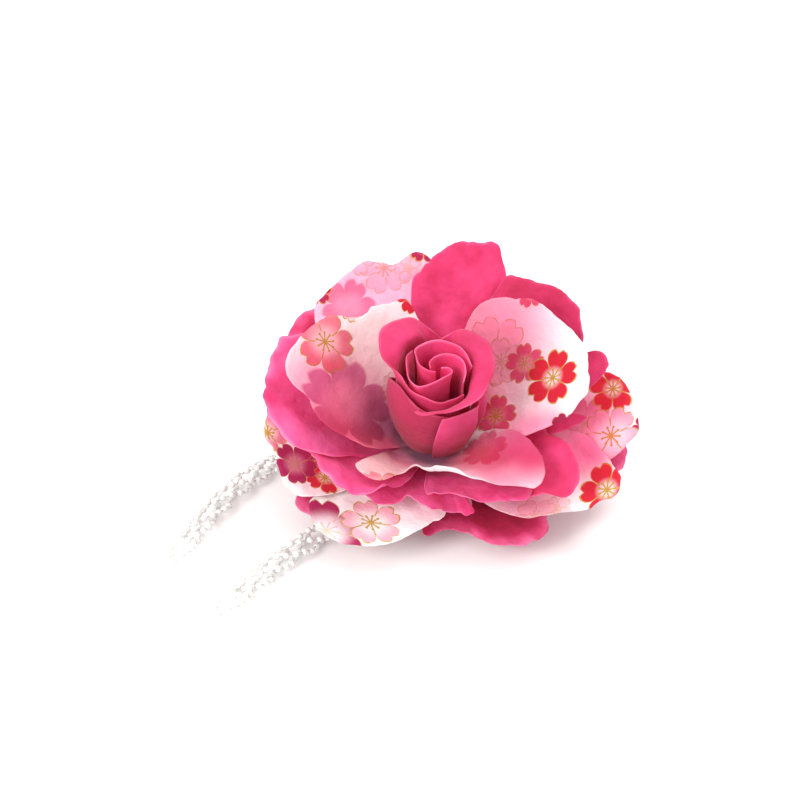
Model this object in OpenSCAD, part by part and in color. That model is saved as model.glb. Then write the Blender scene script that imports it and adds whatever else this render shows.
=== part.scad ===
// Hair clip with a cloth rose and two bunches of strung beads.
// Units are millimetres. Z is up, the clip's flat underside is at z = 0,
// and the flower leans towards -Y. Every petal is a wall of its own.

/* [Flower] */
// Lean of the flower's axis towards -Y, degrees
flower_tilt = 10; // [0:1:20]
// Distance of the flower's axis in front of (-Y) the clip's middle
flower_ahead = 6; // [0:0.5:8]
// Height of the foot of the flower's axis above the clip's underside
flower_lift = 11; // [10:0.5:16]
// Thickness of every cloth wall
wall = 1; // [1:0.1:2]
// Distance of a petal's apex from the axis
apex_r = 1; // [0:0.5:3]
// Length of cloth cut away at a petal's apex
root_cut = 5; // [4:0.5:8]
// Length along a petal over which its slope changes
slope_run = 52; // [40:1:70]

/* [Bud] */
// Height above its foot at which a bud petal is fullest
bud_belly = 16; // [12:0.5:20]
// Share of the way up a bud petal at which its rim starts to fold outwards
bud_neck = 0.62; // [0.5:0.02:0.8]
// How much a rim that folds outwards levels off
bud_roll = 0.9; // [0:0.1:1.2]
// Width of the innermost petals at their foot, as a share of their rim's
heart_foot = 0.62; // [0.6:0.01:0.7]
// The same for the two petals that wrap them
lobe_foot = 0.68; // [0.6:0.01:0.7]
// The same for the two front petals
front_foot = 0.72; // [0.66:0.01:0.76]

/* [Beads] */
// Diameter of the strung beads
bead_d = 2; // [1.6:0.1:3]
// Half the width of the flattened ring the four strands of a bunch twist round
bunch_side = 2.8; // [2:0.1:3.4]
// Half its height
bunch_up = 2; // [2:0.1:3]
// Length of bunch in which the strands turn once
bunch_pitch = 34; // [28:1:60]

/* [Base] */
// Diameter of the round pad under the flower
pad_d = 30; // [24:1:36]
// Thickness of the pad
pad_t = 1.6; // [1:0.1:3]
// Diameter at the foot of the stem the petals are stitched to
stem_d = 10.6; // [8:0.1:10.6]
// Diameter at the top of the stem
stem_top_d = 9.2; // [8:0.1:9.4]
// Top of the stem along the flower's axis
stem_top = 14.2; // [10:0.1:14.2]

/* [Clip] */
// Length of the clip
clip_l = 40; // [36:1:60]
// Width of the clip
clip_w = 12; // [8:1:16]
// Height of the closed clip
clip_h = 5.4; // [4:0.1:6]
// Thickness of each jaw
jaw_t = 1.6; // [1:0.1:2]
// Gap between the closed jaws at their tips
jaw_gap = 0.4; // [0.2:0.1:1]

/* [Hidden] */
plain_pink = [0.92, 0.22, 0.50];
print_white = [0.97, 0.93, 0.92];
pearl_white = [0.96, 0.95, 0.95];
felt_pink = [0.85, 0.35, 0.52];
steel = [0.72, 0.73, 0.75];

// Cells across and along a petal, and round and up a bud petal
petal_cells = [12, 5];
bud_cells = [20, 6];

// Layers of petals from the bottom: the height of their roots, the slopes in front and behind
// (at the root and at the rim), and the rise of the ramp that laps each petal over the next.
ROOT_Z = 1;
FRONT_ROOT = 2;
FRONT_RIM = 3;
BACK_ROOT = 4;
BACK_RIM = 5;
RAMP = 6;
layers = [
    // name, root_z, front_root, front_rim, back_root, back_rim, ramp
    ["low",    1.4, -2, -2, 12, 22, 1.4],
    ["outer",  4.2,  0,  6, 17, 32, 1.6],
    ["middle", 7.6, 12, 23, 22, 40, 2.5],
    ["inner", 11.2, 17, 32, 28, 50, 0.8],
];

// Petals: the way each one points (degrees, 0 = +X, 90 = +Y), its length, half its spread in
// degrees, how square its rim is, the lift of its rim, the height and number of its ruffles,
// where they start, and how much longer one side is than the other.
LAYER = 1;
AZIMUTH = 2;
REACH = 3;
HALF = 4;
BLUNT = 5;
LIFT = 6;
RUFFLE = 7;
WAVES = 8;
PHASE = 9;
SKEW = 10;
petals = [
    // name, layer, azimuth, reach, half, blunt, lift, ruffle, waves, phase, skew
    ["low_front",     "low",     -58, 35, 50, 0.35, 0,   0.5, 2.5, 0.5,  0.35],
    ["low_left",      "low",    -156, 38, 36, 0.35, 0,   0.6, 2.5, 1.5,  0],
    ["low_back",      "low",     134, 58, 38, 0.35, 0,   0.6, 2.5, 2.5,  0],
    ["low_right",     "low",      66, 54, 38, 0.35, 0,   0.6, 2.5, 3.5,  0],
    ["low_side",      "low",       3, 54, 34, 0.35, 0,   0.5, 2.5, 4.5,  0],
    ["outer_front",   "outer",  -120, 40, 46, 0.35, 0,   0.5, 2,   1.0, -0.20],
    ["outer_left",    "outer",   178, 50, 36, 0.35, 0,   0.5, 2,   2.0,  0],
    ["outer_right",   "outer",    15, 59, 34, 0.35, 0,   0.4, 2,   3.0, -0.10],
    ["outer_corner",  "outer",   -28, 45, 42, 0.38, 0,   0.5, 2,   4.4,  0.34],
    ["outer_back",    "outer",   110, 63, 42, 0.35, 0,   0.6, 2,   5.0,  0],
    ["middle_front",  "middle", -104, 31, 42, 0.35, 0,   0.6, 2.5, 0.0,  0],
    ["middle_corner", "middle",  -66, 35, 38, 0.35, 0,   0.6, 2.5, 1.0,  0],
    ["middle_right",  "middle",  -26, 45, 34, 0.35, 0,   0.5, 2,   2.0,  0],
    ["middle_side",   "middle",   14, 53, 24, 0.35, 0,   0.3, 2,   3.0,  0],
    ["middle_back",   "middle",   47, 58, 29, 0.35, 0,   0.2, 2,   4.0,  0],
    ["middle_top",    "middle",   79, 62, 25, 0.35, 0,   0.2, 2,   5.0,  0],
    ["middle_left",   "middle",  166, 53, 44, 0.35, 0,   0.6, 2.5, 6.0,  0],
    ["middle_low",    "middle", -153, 44, 40, 0.35, 0,   0.6, 2.5, 7.0, -0.10],
    ["inner_front",   "inner",   -80, 35, 74, 0.28, 7,   0.4, 2,   1.0,  0.25],
    ["inner_right",   "inner",    28, 52, 48, 0.35, 0,   0.5, 2,   2.0,  0],
    ["inner_left",    "inner",   154, 47, 62, 0.27, 0,   0.5, 2,   3.0, -0.04],
];

// Bud petals: the height of the foot, how wide the foot is for the body, and the rim. Each row
// of a rim is a point of it from the flower's axis, and the share of the point's distance from
// the axis that the body under it has: under 1 the rim folds outwards, over 1 it closes in.
FOOT = 1;
FOOT_SHARE = 2;
RIM = 3;
TOP = 2;
BODY = 3;
bud_petals = [
    // name, foot, foot_share, [[x, y, top, body], ...]
    ["bud_core", 15, heart_foot, [
        [7.3, -5.5, 42.5, 1], [8, -2.5, 43.5, 1], [7, 1.5, 43.5, 1], [4.5, 3.5, 43.5, 1],
        [1.5, 3.8, 43.5, 1], [-1, 2.5, 43.5, 1], [-2.3, 0.5, 43.5, 1], [-1.8, -0.9, 43, 1],
    ]],
    ["bud_inner_back", 15.5, heart_foot, [
        [9.5, 0.5, 42, 1], [8, 3.5, 44, 1], [5.5, 6.5, 44, 1], [1, 8.5, 44, 1], [-3, 7.8, 44, 1],
        [-6, 5.3, 44, 1], [-6, 2.5, 44, 1], [-5, -0.5, 43.5, 1], [-2.5, -2.5, 43.5, 1], [-0.5, -2.5, 43, 1],
    ]],
    ["bud_inner_front", 15.4, heart_foot, [
        [-7, 7.4, 41, 1], [-8.6, 3.5, 42.5, 1], [-8.5, -1.5, 42.5, 1], [-7.5, -5, 42.5, 1], [-5, -7.5, 42.5, 1],
        [-1, -6, 42.5, 1], [2, -4, 42.5, 1], [4, -2, 42.5, 1], [3, -0.5, 42.5, 1], [1, -0.5, 42.5, 1],
    ]],
    ["bud_left", 17, lobe_foot, [
        [2.6, 14.2, 36.5, 0.89], [-1.5, 14, 42, 0.92], [-8, 16, 45, 0.70], [-15.5, 12, 45, 0.63],
        [-16, 3, 45, 0.73], [-13, -2, 44.5, 0.89], [-10, -5, 44, 1.02], [-7, -8.3, 41.5, 1],
        [0, -11.1, 40, 1], [4.3, -10.1, 40, 1], [7.3, -7.8, 40, 1],
    ]],
    ["bud_right", 17, lobe_foot, [
        [-0.5, 11, 39.5, 1], [1, 11.5, 41.5, 0.95], [7, 15, 41.5, 0.69], [13.5, 11, 41.5, 0.69],
        [16, 3, 41.5, 0.77], [14.5, -4.5, 41, 0.84], [11, -11, 41, 0.83], [3.5, -15.5, 41, 0.82],
        [-3, -16.5, 41, 0.78], [-6, -15.5, 41, 0.79],
    ]],
    ["bud_front_left", 17.6, front_foot, [
        [-12, 7, 30, 1.03], [-13.5, 1.5, 36, 1.06], [-12.5, -3.5, 39.5, 1.11], [-10, -8.5, 39.5, 1.10],
        [-7.7, -11.7, 37, 1.04], [-3.5, -14.1, 37, 1], [0.5, -14.6, 37, 0.99],
    ]],
    ["bud_front_right", 17.2, front_foot, [
        [-1.5, -15.8, 38.3, 1.02], [4, -15.2, 38.3, 1], [9.5, -11.8, 37.9, 1.01], [12.5, -7.6, 37.4, 1],
        [14, -3, 37.5, 1], [13.8, 3, 36.5, 1], [12.5, 6.5, 33, 1],
    ]],
];

// Bunches of beads: where each one leaves the pad, two points that steer it, and its end,
// measured from the point under the flower's axis.
bunch_z = bunch_up + bead_d / 2 + 0.05;
upper_bunch = [[-10.4, 4, bunch_z + 2.7], [-42, 28, bunch_z], [-60, 3, bunch_z], [-71.3, -28.2, bunch_z]];
lower_bunch = [[-10.4, -6, bunch_z + 0.5], [-27, -14, bunch_z], [-42, -28.5, bunch_z], [-55.8, -49.8, bunch_z]];
strand_sides = 8;
leg_rings = 22;
turn_rings = 6;

function row(table, name) = table[search([name], table)[0]];
function deg(rad) = rad * 180 / PI;
function rad(degrees) = degrees * PI / 180;
function clamp01(x) = min(1, max(0, x));
function unit(v) = v / max(norm(v), 1e-9);
function mix(a, b, t) = a + (b - a) * t;

// How far out, how far up and at what slope a curve is that starts at slope a
// and turns evenly by b degrees for each millimetre, p millimetres along it.
function bent(a, b, p) =
    abs(b) < 1e-4
        ? [p * cos(a), p * sin(a), a]
        : [deg(sin(a + b * p) - sin(a)) / b, deg(cos(a) - cos(a + b * p)) / b, a + b * p];

// Distance of the rim from the apex, as a share of the reach; w runs -1 to 1 across the petal.
function rim_share(u, w, blunt, phase) =
    pow(cos(90 * w), blunt)
    * (1 + 0.025 * sin(deg(5 * u + phase)) + 0.015 * sin(deg(11 * u + 2 * phase)));

function ruffle_wave(u, waves, phase) =
    sin(deg(PI * waves * u + phase)) + 0.5 * sin(deg(1.7 * PI * waves * u + 2.1 * phase + 1));

// Middle of a petal's wall: u runs -1 to 1 across it, v runs 0 to 1 from root to rim.
function petal_point(petal, layer, u, v) =
    let (
        w = sin(81 * u),
        spread = petal[HALF] * w,
        rim = petal[REACH] * rim_share(u, w, petal[BLUNT], petal[PHASE]) * (1 + petal[SKEW] * w),
        p = mix(root_cut, max(rim, root_cut + 2.5), v),
        phi = petal[AZIMUTH] + spread,
        back = pow((1 + sin(phi)) / 2, 1.3),
        slope_root = mix(layer[FRONT_ROOT], layer[BACK_ROOT], back),
        slope_rim = mix(layer[FRONT_RIM], layer[BACK_RIM], back),
        run = bent(slope_root, (slope_rim - slope_root) / slope_run, p),
        off = layer[RAMP] * rad(spread)
            + petal[LIFT] * pow(v, 3) * pow(1 - w * w, 2)
            + petal[RUFFLE] * v * v * (1 - 0.7 * w * w) * ruffle_wave(u, petal[WAVES], petal[PHASE]),
        r = apex_r + run[0] - off * sin(run[2]),
        z = layer[ROOT_Z] + run[1] + off * cos(run[2])
    )
    [r * cos(phi), r * sin(phi), z];

// A smooth curve through the rows of a table; t runs 0 to 1 along it.
function through(rows, t) =
    let (
        last = len(rows) - 1,
        i = min(floor(t * last), last - 1),
        f = t * last - i,
        a = rows[max(i - 1, 0)],
        b = rows[i],
        c = rows[i + 1],
        d = rows[min(i + 2, last)]
    )
    b + (c - a) * f / 2 + (2 * a - 5 * b + 4 * c - d) * f * f / 2 + (3 * b - 3 * c + d - a) * f * f * f / 2;

// Middle of a bud petal's wall: t runs 0 to 1 along its rim, v runs 0 to 1 upwards.
function bud_point(petal, t, v) =
    let (
        rim = through(petal[RIM], t),
        fold = max(0, 1 - rim[BODY]),
        rise = (rim[TOP] - petal[FOOT]) * (v + bud_roll * fold * sin(180 * v)),
        full = sin(90 * min(rise / bud_belly, 1)),
        share = rim[BODY] * mix(petal[FOOT_SHARE], 1, full)
            + (1 - rim[BODY]) * pow(clamp01((v - bud_neck) / (1 - bud_neck)), 1.7)
    )
    [rim[0] * share, rim[1] * share, petal[FOOT] + rise];

// Turns a grid of points into a closed wall.
function step(grid, i, j, di, dj) =
    grid[min(i + di, len(grid) - 1)][min(j + dj, len(grid[0]) - 1)] - grid[max(i - di, 0)][max(j - dj, 0)];
function face_way(grid, i, j) = unit(cross(step(grid, i, j, 1, 0), step(grid, i, j, 0, 1)));

module cloth(grid) {
    nu = len(grid);
    nv = len(grid[0]);
    count = nu * nv;
    upper = [for (i = [0:nu - 1]) for (j = [0:nv - 1]) grid[i][j] + face_way(grid, i, j) * wall / 2];
    lower = [for (i = [0:nu - 1]) for (j = [0:nv - 1]) grid[i][j] - face_way(grid, i, j) * wall / 2];
    faces = [
        for (i = [0:nu - 2])
            for (j = [0:nv - 2])
                let (a = i * nv + j, b = a + nv, c = b + 1, d = a + 1)
                    each [[a, c, b], [a, d, c], [a + count, b + count, c + count], [a + count, c + count, d + count]]
    ];
    ring = [
        for (i = [0:nu - 1]) i * nv,
        for (j = [1:nv - 1]) (nu - 1) * nv + j,
        for (i = [nu - 2:-1:0]) i * nv + nv - 1,
        for (j = [nv - 2:-1:1]) j,
    ];
    last = len(ring) - 1;
    edge = [
        for (k = [0:last])
            let (a = ring[k], b = ring[k == last ? 0 : k + 1])
                each [[a, b + count, a + count], [a, b, b + count]]
    ];
    polyhedron(points = concat(upper, lower), faces = concat(faces, edge), convexity = 8);
}

module on_flower() {
    translate([0, -flower_ahead, flower_lift])
        rotate([flower_tilt, 0, 0])
            children();
}

module petal(name) {
    data = row(petals, name);
    layer = row(layers, data[LAYER]);
    nu = petal_cells[0];
    nv = petal_cells[1];
    on_flower()
        cloth([for (i = [0:nu]) [for (j = [0:nv]) petal_point(data, layer, 2 * i / nu - 1, j / nv)]]);
}

module bud_petal(name) {
    data = row(bud_petals, name);
    nu = bud_cells[0];
    nv = bud_cells[1];
    on_flower()
        cloth([for (i = [0:nu]) [for (j = [0:nv]) bud_point(data, 1 - i / nu, j / nv)]]);
}

// Strands of a bunch. A strand runs out along the bunch, turns back at the end and returns
// on the bunch's far side.
function bezier(c, t) =
    pow(1 - t, 3) * c[0] + 3 * pow(1 - t, 2) * t * c[1] + 3 * (1 - t) * t * t * c[2] + pow(t, 3) * c[3];
function bezier_way(c, t) =
    unit(pow(1 - t, 2) * (c[1] - c[0]) + 2 * (1 - t) * t * (c[2] - c[1]) + t * t * (c[3] - c[2]));
function bunch_length(c) =
    let (bits = [for (k = [0:19]) norm(bezier(c, (k + 1) / 20) - bezier(c, k / 20))])
        bits * [for (k = [0:19]) 1];
function side_way(c, t) = unit(cross([0, 0, 1], bezier_way(c, t)));
function up_way(c, t) = cross(bezier_way(c, t), side_way(c, t));
function spoke(c, t, turn) = bunch_side * cos(turn) * side_way(c, t) + bunch_up * sin(turn) * up_way(c, t);
function strand_turn(c, t, end_turn) = end_turn - 360 * (1 - t) * bunch_length(c) / bunch_pitch;

function strand_path(c, end_turn, share) =
    let (
        out = [for (k = [0:leg_rings]) let (t = share * k / leg_rings)
            [bezier(c, t) + spoke(c, t, strand_turn(c, t, end_turn)), t]],
        arm = spoke(c, share, strand_turn(c, share, end_turn)),
        bend = [for (k = [1:turn_rings - 1]) let (a = 180 * k / turn_rings)
            [bezier(c, share) + cos(a) * arm + sin(a) * norm(arm) * bezier_way(c, share), share]],
        home = [for (k = [leg_rings:-1:0]) let (t = share * k / leg_rings)
            [bezier(c, t) - spoke(c, t, strand_turn(c, t, end_turn)), t]]
    )
    concat(out, bend, home);

module strand(bunch, end_turn, share) {
    c = [for (point = bunch) point - [0, flower_ahead, 0]];
    path = strand_path(c, end_turn, share);
    n = len(path);
    sides = strand_sides;
    ring_points = [
        for (i = [0:n - 1])
            let (
                way = unit(path[min(i + 1, n - 1)][0] - path[max(i - 1, 0)][0]),
                t = path[i][1],
                across = cross(bezier_way(c, t), unit(spoke(c, t, strand_turn(c, t, end_turn)))),
                e1 = unit(across - (across * way) * way),
                e2 = cross(way, e1)
            )
            for (k = [0:sides - 1])
                path[i][0] + bead_d / 2 * (cos(360 * k / sides) * e1 + sin(360 * k / sides) * e2)
    ];
    skin = [
        for (i = [0:n - 2])
            for (k = [0:sides - 1])
                let (a = i * sides + k, b = i * sides + (k + 1) % sides)
                    each [[a, b + sides, b], [a, a + sides, b + sides]]
    ];
    first_cap = [for (k = [0:sides - 1]) k];
    last_cap = [for (k = [sides - 1:-1:0]) (n - 1) * sides + k];
    polyhedron(points = ring_points, faces = concat(skin, [first_cap, last_cap]), convexity = 10);
}

// Solid pieces under the flower.
module clip() {
    half = clip_l / 2;
    color(steel)
        translate([-clip_w / 2, 0, 0])
            rotate([90, 0, 90])
                linear_extrude(height = clip_w)
                    polygon([
                        [-half, 0], [half - 4, 0], [half, 1.2], [half, clip_h], [-half + 14, clip_h],
                        [-half, 2 * jaw_t + jaw_gap], [-half, jaw_t + jaw_gap],
                        [-half + 6, jaw_t + jaw_gap], [half - 16, clip_h - jaw_t], [half - 12, clip_h - jaw_t],
                        [half - 12, jaw_t], [-half, jaw_t],
                    ]);
}

module flower_base() {
    color(felt_pink)
        union() {
            on_flower() {
                translate([0, 0, -1.2 - pad_t])
                    cylinder(d = pad_d, h = pad_t, $fn = 48);
                translate([0, 0, -1.2 - pad_t / 2])
                    cylinder(d1 = stem_d, d2 = stem_top_d, h = stem_top + 1.2 + pad_t / 2, $fn = 32);
            }
            translate([-5, -flower_ahead - 7, clip_h + 0.1])
                cube([10, 11, 2.8]);
        }
}

module low_front() { color(plain_pink) petal("low_front"); }
module low_left() { color(plain_pink) petal("low_left"); }
module low_back() { color(plain_pink) petal("low_back"); }
module low_right() { color(plain_pink) petal("low_right"); }
module low_side() { color(plain_pink) petal("low_side"); }
module outer_front() { color(print_white) petal("outer_front"); }
module outer_left() { color(print_white) petal("outer_left"); }
module outer_right() { color(print_white) petal("outer_right"); }
module outer_corner() { color(print_white) petal("outer_corner"); }
module outer_back() { color(print_white) petal("outer_back"); }
module middle_front() { color(plain_pink) petal("middle_front"); }
module middle_corner() { color(plain_pink) petal("middle_corner"); }
module middle_right() { color(plain_pink) petal("middle_right"); }
module middle_side() { color(plain_pink) petal("middle_side"); }
module middle_back() { color(plain_pink) petal("middle_back"); }
module middle_top() { color(plain_pink) petal("middle_top"); }
module middle_left() { color(plain_pink) petal("middle_left"); }
module middle_low() { color(plain_pink) petal("middle_low"); }
module inner_front() { color(print_white) petal("inner_front"); }
module inner_right() { color(print_white) petal("inner_right"); }
module inner_left() { color(print_white) petal("inner_left"); }
module bud_core() { color(plain_pink) bud_petal("bud_core"); }
module bud_inner_back() { color(plain_pink) bud_petal("bud_inner_back"); }
module bud_inner_front() { color(plain_pink) bud_petal("bud_inner_front"); }
module bud_left() { color(plain_pink) bud_petal("bud_left"); }
module bud_right() { color(plain_pink) bud_petal("bud_right"); }
module bud_front_left() { color(plain_pink) bud_petal("bud_front_left"); }
module bud_front_right() { color(plain_pink) bud_petal("bud_front_right"); }
module upper_beads_long() { color(pearl_white) strand(upper_bunch, 0, 1); }
module upper_beads_short() { color(pearl_white) strand(upper_bunch, 96, 0.94); }
module lower_beads_long() { color(pearl_white) strand(lower_bunch, 0, 1); }
module lower_beads_short() { color(pearl_white) strand(lower_bunch, 96, 0.94); }

clip();
flower_base();
low_front();
low_left();
low_back();
low_right();
low_side();
outer_front();
outer_left();
outer_right();
outer_corner();
outer_back();
middle_front();
middle_corner();
middle_right();
middle_side();
middle_back();
middle_top();
middle_left();
middle_low();
inner_front();
inner_right();
inner_left();
bud_core();
bud_inner_back();
bud_inner_front();
bud_left();
bud_right();
bud_front_left();
bud_front_right();
upper_beads_long();
upper_beads_short();
lower_beads_long();
lower_beads_short();
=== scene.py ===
import math

import bmesh
import bpy
import numpy as np
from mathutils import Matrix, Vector, noise


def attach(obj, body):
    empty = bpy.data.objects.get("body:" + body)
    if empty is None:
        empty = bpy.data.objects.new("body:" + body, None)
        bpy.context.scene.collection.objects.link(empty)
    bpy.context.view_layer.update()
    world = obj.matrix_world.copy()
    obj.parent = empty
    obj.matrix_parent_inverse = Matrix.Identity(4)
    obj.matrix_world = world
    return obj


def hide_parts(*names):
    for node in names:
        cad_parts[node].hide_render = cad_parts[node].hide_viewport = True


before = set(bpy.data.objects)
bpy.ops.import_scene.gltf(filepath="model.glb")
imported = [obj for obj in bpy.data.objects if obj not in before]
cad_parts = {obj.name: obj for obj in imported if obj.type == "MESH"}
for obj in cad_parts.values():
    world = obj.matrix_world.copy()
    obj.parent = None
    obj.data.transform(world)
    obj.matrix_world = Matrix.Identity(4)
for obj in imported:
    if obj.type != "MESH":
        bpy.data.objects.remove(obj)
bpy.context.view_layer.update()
scene = bpy.context.scene
MM = 0.001

# The table is a plain white sheet under two soft studio lamps, one above it and to the right, the
# other in front and to the left. The camera looks down on the flower from in front, as the
# photographer did.
TABLE_HALF = 4.0
LAMP_WHITE = (1, 0.985, 0.97)
LAMP_WIDTH = 0.5
LAMP_AIM = Vector((0, 0, 0.02))


def new_finish(name):
    finish = bpy.data.materials.new(name)
    finish.use_nodes = True
    return finish, finish.node_tree, finish.node_tree.nodes["Principled BSDF"]


def set_sockets(shader, values):
    for name, value in values.items():
        shader.inputs[name].default_value = value


def new_object(name, data):
    made = bpy.data.objects.new(name, data)
    scene.collection.objects.link(made)
    return made


def stand(thing, place, sight):
    """Puts a lamp or the camera at a place, looking along sight."""
    thing.location = place
    thing.rotation_mode = "QUATERNION"
    thing.rotation_quaternion = sight.to_track_quat("-Z", "Y")


scene.view_settings.view_transform = "Standard"
table_mesh = bpy.data.meshes.new("table")
table_corners = [(x * TABLE_HALF, y * TABLE_HALF, 0) for x, y in ((-1, -1), (1, -1), (1, 1), (-1, 1))]
table_mesh.from_pydata(table_corners, [], [(0, 1, 2, 3)])
table_paint, tree, surface = new_finish("table_paint")
set_sockets(surface, {"Base Color": (0.90, 0.90, 0.90, 1), "Roughness": 0.9, "Specular IOR Level": 0.1})
table_mesh.materials.append(table_paint)
new_object("table", table_mesh)

room = bpy.data.worlds.new("room")
room.use_nodes = True
set_sockets(room.node_tree.nodes["Background"], {"Color": (1, 0.99, 0.985, 1), "Strength": 1.12})
scene.world = room
for name, place, power in (
    ("top_light", (0.30, 0.20, 0.85), 4.0),
    ("front_light", (-0.65, -0.60, 0.60), 6.5),
):
    lamp = bpy.data.lights.new(name, "AREA")
    lamp.shape = "DISK"
    lamp.size = LAMP_WIDTH
    lamp.energy = power
    lamp.color = LAMP_WHITE
    stand(new_object(name, lamp), place, LAMP_AIM - Vector(place))

PHOTO = 800
SENSOR = 36
FOCAL_PX = 2242.5
SIGHT_DISTANCE = 0.65
SIGHT_ELEVATION = math.radians(40)
FLOWER_AT = np.array([0.0, -6.0, 11.0])
FLOWER_AT_PX = (437, 465)
to_camera = Vector((0, -math.cos(SIGHT_ELEVATION), math.sin(SIGHT_ELEVATION)))
sight_up = Vector((0, math.sin(SIGHT_ELEVATION), math.cos(SIGHT_ELEVATION)))
to_middle = Vector((PHOTO / 2 - FLOWER_AT_PX[0], 0, 0)) / FOCAL_PX
sight = -to_camera + to_middle + sight_up * ((FLOWER_AT_PX[1] - PHOTO / 2) / FOCAL_PX)
lens = bpy.data.cameras.new("camera")
lens.sensor_width = SENSOR
lens.lens = FOCAL_PX / PHOTO * SENSOR
lens.clip_start = 0.02
lens.clip_end = 20
camera = new_object("camera", lens)
stand(camera, Vector(FLOWER_AT) * MM + to_camera * SIGHT_DISTANCE, sight)
scene.camera = camera
CAMERA_AT = np.array(camera.location) / MM
CAMERA_WAYS = np.array(camera.rotation_quaternion.to_matrix())


def on_photo(points):
    """Where points, in millimetres, come in the photograph, in pixels."""
    seen = (points - CAMERA_AT) @ CAMERA_WAYS
    across = PHOTO / 2 + FOCAL_PX * seen[..., 0] / -seen[..., 2]
    down = PHOTO / 2 - FOCAL_PX * seen[..., 1] / -seen[..., 2]
    return np.stack([across, down], -1)


# The clip is a plain steel beak clip whose two jaws close flat. Nothing of it shows from in
# front. Its own solid has the right shape, so it gets a brushed steel finish here.
def shader_node(tree, kind, inputs=(), **settings):
    made = tree.nodes.new(kind)
    for name, value in settings.items():
        setattr(made, name, value)
    for name, value in dict(inputs).items():
        if isinstance(value, bpy.types.NodeSocket):
            tree.links.new(value, made.inputs[name])
        else:
            made.inputs[name].default_value = value
    return made


def speckle(tree, scale, detail, rough=0.5, stretch=(1, 1, 1)):
    """Noise over the object's own place, finer along the axes that are stretched more."""
    place = shader_node(tree, "ShaderNodeTexCoord").outputs["Object"]
    place = shader_node(tree, "ShaderNodeMapping", {"Vector": place, "Scale": stretch}).outputs[0]
    settings = {"Vector": place, "Scale": scale, "Detail": detail, "Roughness": rough}
    return shader_node(tree, "ShaderNodeTexNoise", settings).outputs[0]


def two_tones(tree, surface, factor, dark, light, span=(0.0, 1.0)):
    """Colours a finish from a dark to a light tone over a span of a factor."""
    ramp = shader_node(tree, "ShaderNodeValToRGB", {"Fac": factor})
    for end, at, tone in zip(ramp.color_ramp.elements, span, (dark, light)):
        end.position = at
        end.color = (*tone, 1)
    tree.links.new(ramp.outputs[0], surface.inputs["Base Color"])


def uneven_gloss(tree, surface, factor, least, most):
    rough = shader_node(tree, "ShaderNodeMapRange", {"Value": factor, "To Min": least, "To Max": most})
    tree.links.new(rough.outputs[0], surface.inputs["Roughness"])


def relief(tree, surface, height, strength, distance):
    raised = {"Height": height, "Strength": strength, "Distance": distance}
    normal = shader_node(tree, "ShaderNodeBump", raised).outputs[0]
    tree.links.new(normal, surface.inputs["Normal"])
    return normal


steel, tree, surface = new_finish("brushed_steel")
scratches = speckle(tree, 1.0, 3.0, stretch=(9000, 220, 9000))
two_tones(tree, surface, scratches, (0.42, 0.43, 0.45), (0.66, 0.67, 0.69))
uneven_gloss(tree, surface, speckle(tree, 260.0, 4.0), 0.24, 0.46)
relief(tree, surface, scratches, 0.25, 0.00002)
set_sockets(surface, {"Metallic": 1.0})
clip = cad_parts["clip"]
clip.data.materials.clear()
clip.data.materials.append(steel)

# The base is a round pad of pink felt with a short rolled stem of the same felt glued on it.
# The petals are stitched to the stem, and a felt block under the pad is sewn to the clip.
FLOWER_TILT = math.radians(10)
TILT = np.array([
    [1, 0, 0],
    [0, math.cos(FLOWER_TILT), -math.sin(FLOWER_TILT)],
    [0, math.sin(FLOWER_TILT), math.cos(FLOWER_TILT)],
])
PAD_HALF = 15.0
PAD_TOP = -1.2
PAD_LOW = PAD_TOP - 1.6
PAD_SIDES = 72
PAD_WOBBLE = 0.012
STEM_FOOT = 5.3
STEM_HEAD = 4.6
STEM_TOP = 14.2
BLOCK_LOW = (-5.0, -13.0, 5.5)
BLOCK_SIZE = (10.0, 11.0, 2.8)
BLOCK_EDGE = 0.5
STITCHES = 22
STITCH_THICK = 0.18
STITCH_RINGS = 5
STITCH_SIDES = 6


def on_flower(points):
    """From the flower's own axis, leaning forwards, to the object's place."""
    return points @ TILT.T + FLOWER_AT


def ring_faces(rings, sides):
    """Faces of a closed solid whose points are rings, one after the other."""
    faces = []
    for ring in range(rings - 1):
        for k in range(sides):
            a = ring * sides + k
            b = ring * sides + (k + 1) % sides
            faces.append((a, b, b + sides, a + sides))
    faces.append(tuple(reversed(range(sides))))
    faces.append(tuple((rings - 1) * sides + k for k in range(sides)))
    return faces


def spun(profile, sides, wobble):
    """A closed solid turned round the flower's axis from (radius, height) pairs."""
    points = []
    for radius, height in profile:
        for k in range(sides):
            turn = 2 * math.pi * k / sides
            way = Vector((math.cos(turn) * 2.2, math.sin(turn) * 2.2, height * 0.4))
            rough = 1 + wobble * noise.noise(way)
            points.append((radius * rough * math.cos(turn), radius * rough * math.sin(turn), height))
    return on_flower(np.array(points)), ring_faces(len(profile), sides)


def rounded_block(low, size, edge):
    """A felt block with rounded edges: a cube grown from its corners and eased."""
    shape = bmesh.new()
    bmesh.ops.create_cube(shape, size=1.0)
    for corner in shape.verts:
        corner.co = Vector((low[k] + size[k] / 2 + corner.co[k] * size[k] for k in range(3)))
    bmesh.ops.bevel(shape, geom=shape.edges[:], offset=edge, segments=3, affect="EDGES", profile=0.6)
    points = np.array([corner.co[:] for corner in shape.verts])
    faces = [tuple(corner.index for corner in face.verts) for face in shape.faces]
    shape.free()
    return points, faces


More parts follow.
